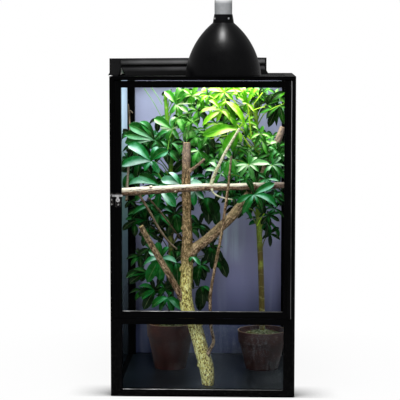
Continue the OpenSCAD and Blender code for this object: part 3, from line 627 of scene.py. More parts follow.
def grow_together(name, limbs, stubs, voxel):
    """Limbs of a name, a line and a count of sides, and short stubs, become one skin; each point
    of it learns its limb."""
    parts = [rod(limb, line, sides) for limb, line, sides in limbs]
    parts += [rod("stub", stub, 12) for stub in stubs]
    whole = join(name, parts)
    press(whole, "REMESH", mode="VOXEL", voxel_size=voxel * MM, use_smooth_shade=True)
    press(whole, "SMOOTH", factor=0.5, iterations=2)
    return whole, along_routes(whole, [line for _, line, _ in limbs])


def sawn_end(route, radius):
    """The last point of a route as a sawn end: its place, direction and radius."""
    before, last = route[-2], route[-1]
    return last[:3], [last[i] - before[i] for i in range(3)], radius


def knot(route, index, size, lift):
    """A knot or broken-off shoot: a short stub that stands out from a limb at one of its points."""
    x, y, z, r = route[index]
    return [[x, y, z, r * 0.7], [x + lift[0], y + lift[1], z + lift[2], size]]


# Limbs as points of x, y, z and radius, in mm
TRUNK = [
    [13, -190, 18, 16.5], [13, -189, 34, 18], [8, -181, 70, 20.5], [-8, -175, 125, 19],
    [-24, -168, 180, 19.5], [-44, -161, 225, 18.5], [-50, -154, 272, 17.5], [-46, -146, 332, 17],
    [-47, -137, 380, 16.5], [-47, -122, 440, 14], [-50, -104, 520, 12.5], [-51, -90, 608, 12.3],
    [-50, -80, 682, 10.5],
]
LEFT_ARM = [[-46, -156, 226, 10], [-60, -162, 255, 9.5], [-93, -170, 319, 9], [-134, -178, 390, 8.5],
            [-172, -185, 459, 8]]
RIGHT_ARM = [
    [-46, -142, 350, 14], [-30, -134, 384, 14.5], [26, -112, 428, 14], [94, -86, 496, 13],
    [145, -64, 570, 11], [188, -44, 646, 10], [220, -25, 722, 9.2],
]
SIDE_TWIG = [[-50, -90, 590, 5.5], [-36, -97, 606, 5], [-14, -103, 624, 4.6], [1, -108, 638, 4]]
LONG_TWIG = [
    [8, -184, 84, 6], [16, -190, 112, 6], [29, -194, 141, 4.6], [21, -192, 184, 5],
    [19, -186, 229, 5], [20, -180, 274, 4.6], [32, -174, 345, 4.5], [48, -168, 428, 4.5],
    [62, -163, 524, 4.2], [68, -160, 570, 4], [76, -154, 651, 3],
]
CROSS = [
    [-241.5, -128, 546, 12], [-225, -128, 547, 11.8], [-150, -130, 552, 11.5], [-76, -131, 557, 10.5],
    [0, -130, 561, 10.5], [60, -131, 562, 10], [138, -126, 564, 9.5], [225, -119, 567, 8.4],
    [241.5, -118, 568, 8],
]
CROSS_SHOOT = [[18, -131, 562, 6.5], [26, -134, 588, 5.4], [38, -138, 616, 5], [61, -142, 662, 4.5],
               [98, -146, 725, 3.8]]
CROSS_SPUR = [[22, -140, 556, 3.4], [27, -141, 546, 3], [46, -142, 535, 2.6], [80, -144, 528, 2.2]]
DROP_TWIG = [[-184, -131, 548, 4.5], [-172, -134, 528, 4], [-148, -138, 489, 3.6],
             [-124, -144, 447, 3.5], [-97, -149, 411, 3.2], [-74, -152, 390, 2.8]]

# Twigs taken from the photograph, each point a pixel, a depth and a radius in mm: one that leans
# into the left back corner, one that hangs behind the trunk, and the corner twig's side tip
CORNER_TWIG = [[(127, 199.5), 125, 4.4], [(129, 170), 240, 3.8], [(131, 140), 345, 3.4],
               [(130.5, 118), 380, 3], [(129.3, 103), 395, 2.2]]
BACK_TWIG = [[(149, 197), 125, 3], [(165, 216), 160, 2.6], [(181, 238), 200, 2]]
CORNER_TIP = [[(130.5, 118), 380, 2.6], [(131, 110), 376, 2.4], [(134, 112.5), 366, 2]]
# Points of a limb with this order get the bark's shaded tone
IN_SHADE = -1


def bark(name, low, high, split, cream_and_highlight, painted_light, twigs, ring=False, painted_shade_from=None, grey_from=None):
    """Rough bark that follows its limb: fissures, flecks, a pale sawn end and its own tone on twigs,
    with a painted highlight on its tops and painted shade beneath, on its right side, on limbs in shade
    and past a given x.
    It changes from its low colours to its high ones between the two heights of split."""
    f = Finish(name, rough=0.8, shine=0.3)
    fibre = f.grain(f.spot((1, 1, 0.4), own="along"), 0.0036, detail=7, rough=0.72, warp=0.6)
    fleck = f.grain(f.spot((1, 1, 0.6), own="along"), 0.0047, detail=6, rough=0.75)
    plate = f.cells(f.spot((1, 1, 0.62), own="along"), 0.0056, "DISTANCE_TO_EDGE")
    patch = f.grain(f.spot((1, 1, 0.5), own="along"), 0.03, detail=3)
    height = f.axis(f.spot(), "Z")
    skin = f.sum("ADD", f.sum("MULTIPLY", fibre, 0.55), f.sum("MULTIPLY", fleck, 0.45))
    skin = f.ease(skin, 0.42, 0.58)
    tone = f.mix(f.ease(height, *split), f.ramp(skin, *low), f.ramp(skin, *high))
    limb = f.own("limb")
    first, colours = twigs
    tone = f.mix(f.ease(limb, first - 0.6, first - 0.4), tone, f.ramp(skin, *colours))
    tone = f.mix(f.ease(patch, 0.55, 0.72, 0.0, 0.25), tone, cream_and_highlight)
    crack = f.sum("MULTIPLY", f.ease(plate, 0.05, 0.0, 0.0, 0.45), f.ease(height, *split, 0.75, 0.25))
    tone = f.mix(crack, tone, "#1d180b")
    if grey_from:
        tone = f.mix(f.ease(height, grey_from, grey_from + 0.06, 0.0, 0.42), tone, "#9d8a8a")
    if ring:
        band = f.sum("PINGPONG", f.axis(f.spot(own="along"), "Z"), 0.016)
        tone = f.mix(f.ease(band, 0.0014, 0.0, 0.0, 0.8), tone, "#3a2a18")
    # Painted shade: limbs in shade take a darker tone and less of the painted highlight
    shaded = f.ease(limb, -0.4, -0.6, 1.0, 0.15)
    tone = f.mix(f.ease(shaded, 1.0, 0.15, 0.0, 0.6), tone, "#3c3418")
    # Painted highlight: faces turned up pale to the cream tone
    tone = f.mix(f.sum("MULTIPLY", f.ease(f.turned("Z"), 0.05, 0.6, 0.0, painted_light), shaded), tone, cream_and_highlight)
    # Painted shade: faces turned to the right and faces turned down are darkened
    tone = f.mix(f.ease(f.turned("X"), 0.4, 1.0, 0.0, 0.6), tone, "#2c200c")
    tone = f.mix(f.ease(f.turned("Z"), -0.15, -0.75, 0.0, 0.7), tone, "#2a2014")
    # Painted shade: the limb is darkened past a given x
    if painted_shade_from:
        painted_shade = f.ease(f.axis(f.spot(), "X"), painted_shade_from, painted_shade_from + 0.03, 0.0, 0.85)
        tone = f.mix(painted_shade, tone, f.ramp(skin, (0.1, "#2c1c18"), (0.5, "#5d453e"), (0.9, "#8f766c")))
    years = f.add("TexWave", Vector=f.spot((1, 1, 0), own="along"), Scale=130.0, Distortion=1.2)
    years.wave_type = "RINGS"
    years.rings_direction = "Z"
    wood = f.mix(f.ease(years.outputs["Fac"], 0.2, 0.9), "#d8bd8c", "#8f6d42")
    f.colour(f.mix(f.vary(f.own("cut")), tone, wood))
    f.rough(f.vary(fibre, 0.86, 0.6))
    high_low = f.sum("SUBTRACT", f.sum("ADD", fibre, fleck), f.sum("MULTIPLY", crack, 1.2))
    f.relief(high_low, 0.0016, 1.0)
    return f


def grow_climbing_branch():
    """The forked branch that stands on the floor and leans up to the left and right."""
    limbs = [
        ("trunk", smooth_route(TRUNK, 5), 20), ("left_arm", smooth_route(LEFT_ARM, 4), 16),
        ("right_arm", smooth_route(RIGHT_ARM, 4), 20), ("side_twig", smooth_route(SIDE_TWIG, 3), 12),
        ("long_twig", smooth_route(LONG_TWIG, 4), 12),
    ]
    stubs = [
        knot(TRUNK, 4, 6, (22, -8, 8)), knot(TRUNK, 7, 6.5, (-20, -6, 4)),
        knot(TRUNK, 9, 5, (-15, -6, 8)), knot(LEFT_ARM, 3, 4.2, (-8, -5, 7)),
        knot(RIGHT_ARM, 3, 5, (6, -9, 13)), knot(TRUNK, 2, 7, (-23, -5, 6)),
    ]
    whole, along = grow_together("climbing_branch_bark", limbs, stubs, 1.9)
    share = mark_cuts(whole, [
        sawn_end(TRUNK, 11), sawn_end(LEFT_ARM, 8.5), sawn_end(RIGHT_ARM, 9.5),
        (TRUNK[0][:3], (0, 0, -1), 18)])
    weather(whole, along, share, furrow=0.0011, lump=0.0007, swell=0.0016)
    spots = points_of(whole)
    spots[:, 2] = np.maximum(spots[:, 2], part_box("floor_panel")[1].z + 0.0001)
    move_points(whole, spots)
    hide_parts("climbing_branch")
    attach(whole, frame_body("climbing_branch"))
    # Painted highlight: the cream tone goes on pale patches and, at a quarter share, on the trunk's
    # tops
    bark("trunk_bark", [(0.1, "#3c2c0e"), (0.34, "#9c843a"), (0.54, "#fbec82"), (0.86, "#fffdc0")],
         [(0.1, "#322210"), (0.35, "#54401f"), (0.6, "#7f6240"), (0.92, "#c4a684")],
         (0.3, 0.37), "#cbb98a", 0.25,
         (1, [(0.1, "#28180c"), (0.45, "#664a30"), (0.9, "#c4a68a")]), grey_from=0.59).on(whole)


def grow_cross_branch():
    """The branch that is wedged from side to side, with its shoots, spurs and three small twigs."""
    corner, tip, back = [smooth_route([[*seen_at(pixel, depth), r] for pixel, depth, r in twig], 4)
                         for twig in (CORNER_TWIG, CORNER_TIP, BACK_TWIG)]
    limbs = [
        ("cross", smooth_route(CROSS, 4), 20), ("cross_shoot", smooth_route(CROSS_SHOOT, 4), 12),
        ("drop_twig", smooth_route(DROP_TWIG, 4), 12), ("cross_spur", smooth_route(CROSS_SPUR, 3), 12),
        ("corner_twig", corner, 12), ("corner_tip", tip, 12), ("back_twig", back, 12),
    ]
    stubs = [knot(CROSS, 2, 4.4, (4, -7, 13)), knot(CROSS, 3, 4.5, (-4, -9, -11)),
             knot(CROSS, 6, 4.0, (2, -8, 9))]
    whole, along = grow_together("cross_branch_bark", limbs, stubs, 1.7)
    order_of = {name: order for order, (name, _, _) in enumerate(limbs)}
    orders = limb_orders(whole)
    for name in ("drop_twig", "corner_twig", "corner_tip", "back_twig"):
        orders[orders == order_of[name]] = IN_SHADE
    mark(whole.data, "limb", orders)
    share = mark_cuts(whole, [(CROSS[0][:3], (-1, 0, 0), 12), (CROSS[-1][:3], (1, 0, 0), 8)])
    weather(whole, along, share, furrow=0.0007, lump=0.0005, swell=0.0012)
    between_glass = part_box("right_glass")[0].x - 0.0002
    spots = points_of(whole)
    spots[:, 0] = np.clip(spots[:, 0], -between_glass, between_glass)
    move_points(whole, spots)
    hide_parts("cross_branch")
    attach(whole, frame_body("cross_branch"))
    brown = [(0.1, "#3a241a"), (0.5, "#7d5d48"), (0.9, "#b89a80")]
    # Painted light and shade: a strong cream highlight on the branch's tops, and painted shade past x
    # 0.14 m
    bark("cross_bark", brown, brown, (0.4, 0.6), "#fff6e2", 0.92,
         (1, [(0.1, "#8d8a5a"), (0.5, "#d5d2a4"), (0.9, "#f7f4d8")]), ring=True,
         painted_shade_from=0.14).on(whole)


# Umbrella plants


def middle_of(node):
    """The middle of a node's footprint, in millimetres."""
    low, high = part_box(node)
    return ((low.x + high.x) / 2 / MM, (low.y + high.y) / 2 / MM)


LEFT_POT = middle_of("left_pot")
RIGHT_POT = middle_of("right_pot")
# The photograph: the pixel that all depth lines run to, the pixel at the foot of the front's middle,
# how far off the front was taken and how wide one pixel is there, in mm
DEPTH_PIXEL = (257.4, 38.1)
FOOT_PIXEL = (202.6, 397.5)
VIEW_AWAY = 3990
PIXEL_WIDE = 2.7115
# Whorls of leaves at the back: x and y from the pot's centre, height and reach in mm, then how far
# they lean to x and to y in degrees
LEFT_WHORLS = [
    [-46, 40, 690, 58, -20, -30], [-72, 20, 488, 50, -40, -30], [-62, 50, 430, 54, -35, -20],
    [59, 20, 626, 52, 30, -35], [66, 30, 552, 50, 35, -30], [-86, 80, 660, 50, -35, 5],
    [68, 90, 708, 54, 30, 0], [-12, 110, 560, 56, -5, 35], [44, 106, 450, 52, 25, 20],
    [44, 60, 345, 50, 30, 10], [64, 110, 800, 46, 25, 15],
]
RIGHT_WHORLS = [
    [-113, 20, 822, 56, -25, -15], [-23, 10, 512, 54, -5, -30], [13, 40, 440, 46, 30, -5],
    [-79, 50, 640, 56, -25, 0], [-139, 50, 716, 52, -35, 0], [-97, 100, 770, 56, -15, 20],
    [-63, 90, 540, 54, -20, 20], [29, 50, 540, 46, 35, 5], [-37, 110, 830, 50, 5, 20],
    [27, 110, 790, 46, 25, 20], [-151, 100, 640, 46, -35, 15],
]
# Stems and their forks: x and y from the pot's centre, height and radius, in mm
LEFT_STEM = [
    [0, 0, 112, 9], [0, 1, 150, 8.7], [2, 2, 189, 8.5], [2, 4, 357, 8], [0, 8, 503, 7.5],
    [2, 12, 657, 7], [-8, 12, 730, 6], [-14, 12, 814, 5],
]
RIGHT_STEM = [
    [0, 0, 92, 9], [0, 0, 130, 9], [-1, 0, 189, 9], [-4, 0, 300, 8.5], [-8, -2, 388, 8.5],
    [-12, -4, 463, 8], [-16, -5, 522, 7.5], [-18, -5, 655, 7], [-20, 4, 802, 5],
]
LEFT_FORK = [[2, 12, 657, 5], [14, 20, 720, 4.5], [22, 26, 788, 4]]
RIGHT_FORK = [[-18, -5, 655, 6], [-34, 6, 740, 5], [-46, 14, 802, 4.5]]
# Sprays as the photograph shows them: the middle's pixel, its depth behind the door in mm, a tone from
# dark to pale that also paints in the light and shade the spray stands in, and the pixel of each
# leaflet's tip
LEFT_SPRAYS = [
    [151.5, 160, 215, 0.74, [(129, 145), (122.5, 165), (134.5, 163.5), (159.5, 172), (158.5, 146),
      (169, 149.5), (145, 170), (141, 151)]],
    [155, 139, 255, 0.52, [(130, 124), (141, 121), (126, 134), (126, 142), (169, 131), (143, 139),
      (164, 147), (150, 149)]],
    [158.5, 183.5, 225, 0.57, [(128.5, 184.5), (139.5, 174), (135.5, 200), (150, 197), (147, 192),
      (172, 189)]],
    [161, 189.5, 195, 0.84, [(158, 206.5), (176, 205.5), (168, 200), (150, 199), (178, 196)]],
    [181, 183.5, 182, 0.87, [(161.5, 178.5), (169, 171.5), (204, 184.5), (176, 190), (194, 176),
      (186, 196)]],
    [195, 190, 180, 0.92, [(204, 197.5), (194.5, 204.5), (186, 197), (188, 203), (207, 190)]],
    [172, 128, 275, 0.78, [(155, 118), (161, 126.5), (176, 116), (183, 127), (179, 138), (168, 141),
      (160, 134)]],
    [177, 104, 290, 0.8, [(165.5, 91), (179, 87), (188, 91), (196, 103), (188.5, 111.5), (171, 113),
      (182, 115)]],
    [190, 127, 290, 0.84, [(200, 117), (198, 129), (186, 117), (182, 130), (195.5, 141), (192, 149),
      (184, 140)]],
    [199, 150, 250, 0.78, [(200, 163), (194, 162.5), (209, 160), (191, 150), (207, 143), (203, 139)]],
    [160.5, 257, 235, 0.6, [(157, 241), (169, 246), (143.5, 265), (147.5, 281.5), (160, 279),
      (172.5, 271), (177, 262), (149, 250)]],
    [176, 262, 270, 0.4, [(178, 285), (169, 284), (185, 271), (172, 249), (184, 254)]],
    [168, 297, 215, 0.58, [(157, 303), (160, 312), (173, 312), (177, 300), (172, 292), (152, 307),
      (182, 309)]],
    [149, 272, 270, 0.16, [(126, 276.5), (130, 283), (141, 281), (134, 269)]],
    [155, 289, 265, 0.34, [(137, 297), (139, 286), (142, 299), (144, 309), (161, 283), (150, 279)]],
    [147, 219, 280, 0.14, [(126, 218.5), (129, 223), (141, 227), (139, 212), (155, 212)]],
    [150, 204, 265, 0.46, [(132, 215.5), (151, 214.5), (158, 211), (146, 217), (140, 201), (158, 202)]],
    [176, 213, 290, 0.42, [(186, 205), (185, 222), (164, 207), (171, 223), (179, 231), (168, 199)]],
    [200, 224, 320, 0.28, [(190, 214), (206, 211), (207, 226), (195, 232), (206, 237), (189, 229),
      (211, 231)]],
    [208, 196, 290, 0.36, [(213.5, 217), (209, 223), (203, 211), (218, 225), (220, 209), (200, 205)]],
    [212, 245, 310, 0.28, [(206, 263), (214, 264), (223, 262), (223, 246), (204, 252), (217, 234)]],
    [216, 252, 320, 0.28, [(227, 276), (221, 268), (212, 268)]],
    [201, 264, 290, 0.34, [(197, 285), (206, 277), (210, 270), (193, 273), (207, 259)]],
    [203, 285, 290, 0.34, [(203, 305), (209, 301), (197, 297), (200, 310), (210, 290)]],
    [186, 275, 300, 0.2, [(178, 290), (186, 294), (194, 288), (192, 268)]],
    [165, 230, 340, 0.14, [(152, 236), (160, 244), (174, 243), (178, 232), (155, 224)]],
    [140, 150, 330, 0.2, [(127, 150), (131, 160), (140, 165), (150, 160), (133, 141)]],
    [192, 95, 280, 0.84, [(184, 89), (198, 86), (205, 94), (203, 104), (190, 107), (182, 99)]],
    [192.5, 256, 76, 0.62, [(189.5, 261), (200.5, 264)]],
    [176, 150, 330, 0.08, [(165, 156), (173, 163), (183, 160), (187, 150), (169, 143)]],
    [160, 118, 330, 0.24, [(150, 124), (158, 131), (168, 127), (171, 117)]],
    [186, 160, 335, 0.12, [(176, 167), (184, 173), (194, 169), (197, 159), (179, 153)]],
    [147, 170, 320, 0.06, [(136, 177), (144, 184), (154, 180), (158, 170)]],
    [186, 200, 340, 0.08, [(176, 207), (184, 214), (194, 209), (197, 199), (179, 193)]],
    [160, 190, 335, 0.08, [(150, 197), (158, 204), (168, 199), (171, 189)]],
    [184, 240, 330, 0.08, [(174, 247), (182, 254), (192, 249), (195, 239), (177, 233)]],
    [196, 242, 335, 0.06, [(187, 249), (195, 257), (205, 252), (207, 242)]],
    [131, 200, 300, 0.1, [(125, 194), (126, 207), (137, 208), (140, 198)]],
]
RIGHT_SPRAYS = [
    [221, 110, 225, 0.98, [(200.5, 113), (202.5, 125.5), (213, 118.5), (209, 100), (225, 98),
      (217, 121), (231, 120)]],
    [224, 92, 245, 0.95, [(208, 89), (209, 100.5), (216, 102), (233, 99), (241, 91), (229, 86),
      (218, 86)]],
    [226, 101, 215, 0.86, [(244.5, 125), (235, 125.5), (239, 110), (216, 108)]],
    [236.5, 128.5, 205, 0.88, [(203, 134.5), (223, 150.5), (232, 151), (241, 141), (230, 117)]],
    [247, 103, 235, 0.84, [(237, 96), (242, 102), (252, 94), (244, 111), (255, 112), (240, 88),
      (256, 88)]],
    [258, 97, 280, 0.38, [(249, 104), (258, 111), (266, 101), (269, 88), (250, 91), (262, 88)]],
    [266.5, 104, 250, 0.38, [(283.5, 92), (282, 101), (271, 93), (262, 96), (274, 112)]],
    [279, 105.5, 250, 0.33, [(258.5, 112.5), (268, 126), (276, 125), (283, 123), (266, 118),
      (284, 108)]],
    [262, 147, 190, 0.8, [(255, 151), (262, 154.5), (269.5, 150), (269, 141), (256, 140), (276, 141)]],
    [244, 146, 285, 0.66, [(236, 151), (240, 156), (251, 151), (233, 144), (249, 155), (246, 138)]],
    [248.5, 163.5, 158, 0.88, [(235.5, 164), (236.5, 171.5), (240.5, 176), (252.5, 178.5),
      (258.5, 170.5), (268.5, 162.5), (257, 156.5), (251, 154)]],
    [271.5, 164, 165, 0.72, [(254, 161.5), (263, 176), (276, 181), (283.5, 177), (284, 165),
      (284, 154), (276, 148)]],
    [253.5, 193.5, 112, 0.6, [(246.5, 178), (274, 182), (277, 206), (242, 213), (236.5, 201.5),
      (262, 208)]],
    [231, 158, 190, 0.85, [(230, 149.5), (225.5, 177), (239, 166), (224, 152), (236, 174)]],
    [221, 172, 185, 0.84, [(209.5, 161.5), (225, 160), (205.5, 169), (214, 183), (228, 181)]],
    [212, 146, 310, 0.5, [(208, 159), (214.5, 154), (225, 148), (205, 139), (213, 135), (200, 151)]],
    [275, 207, 290, 0.34, [(261, 202), (266.5, 222), (281, 199), (284, 216), (271, 216), (263, 210)]],
    [234, 125, 300, 0.56, [(220, 126), (247, 129), (241, 117), (228, 117), (238, 136)]],
    [205, 128, 310, 0.62, [(197, 129), (204, 116), (213, 124), (203, 138), (212, 134)]],
    [203, 97, 295, 0.86, [(194, 92), (205, 87), (198, 104), (210, 104), (203, 111), (212, 93)]],
    [240, 184, 320, 0.36, [(230, 190), (237, 197), (248, 192), (247, 180), (229, 181)]],
    [262, 184, 320, 0.34, [(256, 176), (268, 176), (272, 188), (262, 197), (255, 190)]],
    [281, 190, 300, 0.3, [(272, 184), (273, 196), (284, 200), (284, 181)]],
    [270, 232, 320, 0.22, [(262, 238), (270, 245), (280, 238), (279, 226), (262, 226)]],
    [232, 165, 300, 0.3, [(222, 170), (229, 179), (240, 172), (238, 158), (224, 158)]],
    [266, 178, 150, 0.5, [(256, 186), (262, 190), (272, 188), (278, 180), (258, 172), (268, 169)]],
    [260, 133, 170, 0.72, [(250, 138), (255, 144), (265, 143), (271, 136), (263, 125), (252, 126)]],
    [279, 152, 150, 0.55, [(268, 146), (273, 158), (283, 160), (284, 146), (277, 141)]],
    [236, 205, 330, 0.12, [(226, 212), (234, 219), (243, 214), (247, 205), (229, 202)]],
    [226, 118, 330, 0.3, [(216, 126), (224, 131), (234, 127), (238, 117), (219, 112)]],
    [212, 164, 340, 0.14, [(202, 170), (210, 177), (219, 174), (223, 164), (204, 158)]],
    [243, 170, 345, 0.1, [(233, 176), (241, 183), (250, 179), (254, 170), (236, 163)]],
    [228, 140, 345, 0.16, [(218, 147), (226, 153), (236, 149), (240, 139), (221, 133)]],
]
# Fans of leaves that fill in between: the middle's pixel, depth and tone, the tone also painting in
# their light and shade, then how far the leaves reach
LEFT_FANS = [
    [132, 133, 285, 0.19, 42], [140, 145, 285, 0.26, 46], [128, 158, 285, 0.22, 39],
    [140, 160, 285, 0.15, 49], [150, 172, 285, 0.22, 42], [133, 172, 285, 0.26, 39],
    [165, 150, 285, 0.22, 42], [160, 140, 285, 0.34, 39], [172, 142, 285, 0.38, 35],
    [180, 118, 285, 0.45, 32], [190, 118, 285, 0.41, 35], [196, 136, 285, 0.38, 35],
    [186, 145, 290, 0.22, 42], [204, 142, 300, 0.22, 39], [196, 158, 285, 0.3, 39],
    [186, 92, 300, 0.52, 32], [172, 95, 310, 0.45, 32], [198, 110, 300, 0.38, 35],
    [206, 178, 285, 0.38, 35], [168, 176, 285, 0.34, 39], [192, 176, 285, 0.38, 35],
    [142, 208, 285, 0.22, 39], [160, 212, 285, 0.19, 39], [134, 222, 295, 0.09, 35],
    [150, 232, 300, 0.08, 39], [140, 255, 295, 0.11, 39], [150, 248, 285, 0.22, 35],
    [165, 272, 285, 0.26, 35], [180, 250, 300, 0.09, 35], [190, 226, 310, 0.09, 39],
    [170, 222, 310, 0.09, 39], [142, 290, 285, 0.15, 35], [165, 288, 285, 0.22, 35],
    [176, 280, 285, 0.15, 32], [208, 238, 320, 0.09, 35], [214, 254, 325, 0.08, 35],
    [198, 272, 310, 0.09, 35],
]
RIGHT_FANS = [
    [212, 108, 278, 0.68, 34], [228, 112, 278, 0.64, 34], [208, 95, 250, 0.68, 30],
    [236, 92, 278, 0.72, 30], [246, 92, 260, 0.59, 30], [216, 122, 278, 0.51, 37],
    [210, 134, 260, 0.38, 37], [228, 136, 278, 0.42, 37], [244, 122, 260, 0.42, 37],
    [252, 130, 260, 0.38, 37], [238, 146, 278, 0.47, 37], [224, 146, 250, 0.42, 37],
    [250, 150, 278, 0.42, 37], [262, 140, 192, 0.42, 37], [272, 136, 278, 0.38, 34],
    [276, 146, 192, 0.38, 34], [262, 158, 192, 0.42, 41], [272, 152, 192, 0.38, 41],
    [254, 170, 192, 0.38, 41], [264, 172, 192, 0.34, 41], [278, 170, 192, 0.3, 34],
    [246, 178, 192, 0.34, 37], [252, 184, 192, 0.34, 37], [236, 172, 278, 0.38, 37],
    [228, 182, 278, 0.34, 34], [240, 192, 278, 0.26, 37], [262, 196, 192, 0.26, 37],
    [246, 206, 192, 0.3, 37], [232, 196, 260, 0.21, 34], [274, 196, 278, 0.26, 34],
    [268, 214, 260, 0.21, 34], [256, 92, 290, 0.42, 30], [264, 96, 280, 0.34, 30],
    [276, 94, 260, 0.3, 34], [215, 158, 260, 0.42, 34], [222, 188, 280, 0.26, 34],
]
# Young stalks in front: pixel and depth of the foot and of the head, then the radius in mm
LEFT_STALKS = [
    [(163, 118), 275, (145, 88), 265, 1.0], [(163, 104), 280, (152, 87), 290, 0.9],
    [(172, 128), 280, (168, 150), 262, 1.6], [(178, 118), 275, (170, 137), 262, 1.5],
    [(200, 118), 250, (186, 126), 262, 1.3], [(206, 133), 240, (190, 127), 285, 1.1],
    [(151, 160), 215, (166, 186), 262, 1.7], [(158, 183), 225, (168, 204), 262, 1.6],
    [(190, 112), 250, (174, 119), 262, 1.1],
]
RIGHT_STALKS = [
    [(219, 109), 215, (250, 138), 245, 2.1], [(223, 91), 240, (239, 106), 250, 2.0],
    [(247, 103), 230, (251, 138), 252, 2.4], [(236, 128), 200, (250, 146), 245, 1.9],
    [(262, 92), 235, (240, 126), 245, 1.6], [(205, 123), 215, (236, 128), 205, 1.2],
    [(210, 138), 215, (236, 134), 215, 1.3], [(252, 110), 225, (266, 106), 250, 1.4],
    [(283, 103), 225, (262, 114), 245, 1.1], [(232, 86), 230, (246, 108), 240, 1.3],
    [(271, 164), 160, (254, 182), 250, 1.7], [(248, 163), 155, (254, 176), 250, 1.7],
    [(262, 186), 250, (283, 172), 200, 1.2], [(264, 212), 255, (257, 224), 262, 1.3],
]
# Leaflets of a whorl, one more or less by chance
LEAFLETS = 8
# The flat leaflet's own breadth, and the narrowest and broadest leaf in mm
LEAFLET_BREADTH = 0.4
NARROWEST = 11.0
BROADEST = 32.0
# The lamp's place over the leaves and how far its painted warm light reaches, in mm
LAMP_SPOT = (70, -60, 850)
LAMP_REACH = 285
# Room for leaves: low and high corners, in metres, inside the glass and under the mesh
ROOM = ((-0.2412, -0.2345, 0.0185), (0.2412, 0.2388, 0.8665))


def seen_at(pixel, depth):
    """The point in mm that shows at a pixel of the photograph, this deep behind the front."""
    share = (VIEW_AWAY + depth) / VIEW_AWAY
    across = DEPTH_PIXEL[0] + (pixel[0] - DEPTH_PIXEL[0]) * share
    down = DEPTH_PIXEL[1] + (pixel[1] - DEPTH_PIXEL[1]) * share
    return ((across - FOOT_PIXEL[0]) * PIXEL_WIDE, CABINET_FRONT / MM + depth,
            (FOOT_PIXEL[1] - down) * PIXEL_WIDE)


def pick(piece, test):
    """In edit mode, the points that pass a test are selected."""
    work = bmesh.from_edit_mesh(piece.data)
    work.select_mode = {"VERT"}
    for point in work.verts:
        point.select = test(point.co)
    work.select_flush_mode()
    bmesh.update_edit_mesh(piece.data)


def model_leaflet():
    """One leaflet, 1 long: a small grid drawn in to a blunt oval and folded along its midrib."""
    drop_selection()
    rows = 8
    bpy.ops.mesh.primitive_grid_add(x_subdivisions=4, y_subdivisions=rows, size=1, location=(0, 0.5, 0))
    leaf = bpy.context.active_object
    leaf.name = "leaflet"
    settle(leaf)
    open_up(leaf)
    for side, rise in ((0.25, 0.07), (0.5, 0.2)):
        pick(leaf, lambda p: abs(abs(p.x) - side) < 0.01)
        bpy.ops.transform.translate(value=(0, 0, rise))
    for row, width in enumerate((0.05, 0.16, 0.27, 0.35, 0.4, 0.41, 0.38, 0.28, 0.03)):
        pick(leaf, lambda p: abs(p.y - row / rows) < 0.01)
        bpy.ops.transform.resize(value=(width, 1, width), center_override=(0, row / rows, 0))
    close_up()
    return leaf


def turn(axis, degrees):
    """The matrix that turns points about an axis."""
    return np.array(Matrix.Rotation(math.radians(degrees), 3, axis))


def hang(spots, length, start, droop, twist, wave):
    """A flat leaflet bent down along its length, twisted and a little waved."""
    v = spots[:, 1]
    side = spots[:, 0] * length
    lift = spots[:, 2] * length + wave * length * np.sin(v * 7 + 1.3) * np.abs(spots[:, 0]) * 2
    angle = start + droop * v
    out = length / droop * (np.sin(angle) - math.sin(start))
    down = length / droop * (np.cos(angle) - math.cos(start))
    turned = twist * v
    across = side * np.cos(turned) - lift * np.sin(turned)
    over = side * np.sin(turned) + lift * np.cos(turned)
    return np.stack([across, out + over * np.sin(angle), down + over * np.cos(angle)], axis=1)


def reach_out(spots, start, tip, face, arch, twist, breadth):
    """A flat leaflet laid on an arched line from the spray's middle to its tip, its top towards face.
    Its breadth is a share of its length, within limits."""
    start, tip = np.array(start, float), np.array(tip, float)
    length = np.linalg.norm(tip - start)
    bend = (start + tip) / 2 + np.array(face) * arch * length * 2
    v = spots[:, 1:2]
    line = (1 - v) ** 2 * start + 2 * v * (1 - v) * bend + v * v * tip
    heading = (1 - v) * (bend - start) + v * (tip - bend)
    heading /= np.linalg.norm(heading, axis=1)[:, None]
    side = np.cross(heading, np.array(face))
    side /= np.linalg.norm(side, axis=1)[:, None]
    over = np.cross(side, heading)
    turned = twist * v
    across = side * np.cos(turned) + over * np.sin(turned)
    above = over * np.cos(turned) - side * np.sin(turned)
    broad = max(NARROWEST, min(BROADEST, length * breadth)) / LEAFLET_BREADTH
    return line + across * spots[:, 0:1] * broad + above * spots[:, 2:3] * broad


def painted_lamp_light_at(spot):
    """Painted lamp light: leaves by the lamp are painted yellower, 1 at the lamp, 0 far from it."""
    return min(1.0, max(0.0, 1.15 - math.dist(spot, LAMP_SPOT) / LAMP_REACH))


def fan_out(place, reach, face, chance):
    """Tips of a fan of leaves round its middle, square to face and hanging a little."""
    across = Vector((1, 0, 0))
    upward = Vector(face).cross(across)
    count = chance.choice((5, 6, 6, 7))
    first = chance.uniform(0, math.tau)
    tips = []
    for i in range(count):
        angle = first + math.tau * i / count + chance.uniform(-0.2, 0.2)
        far = reach * chance.uniform(0.8, 1.2)
        tip = Vector(place) + (across * math.cos(angle) + upward * math.sin(angle)) * far
        tips.append(tip - Vector((0, 0, far * chance.uniform(0.1, 0.4))))
    return tips


def from_pot(rows, pot):
    """Rows that start with x and y from a pot's centre, moved to the pot's place."""
    return [[row[0] + pot[0], row[1] + pot[1], *row[2:]] for row in rows]


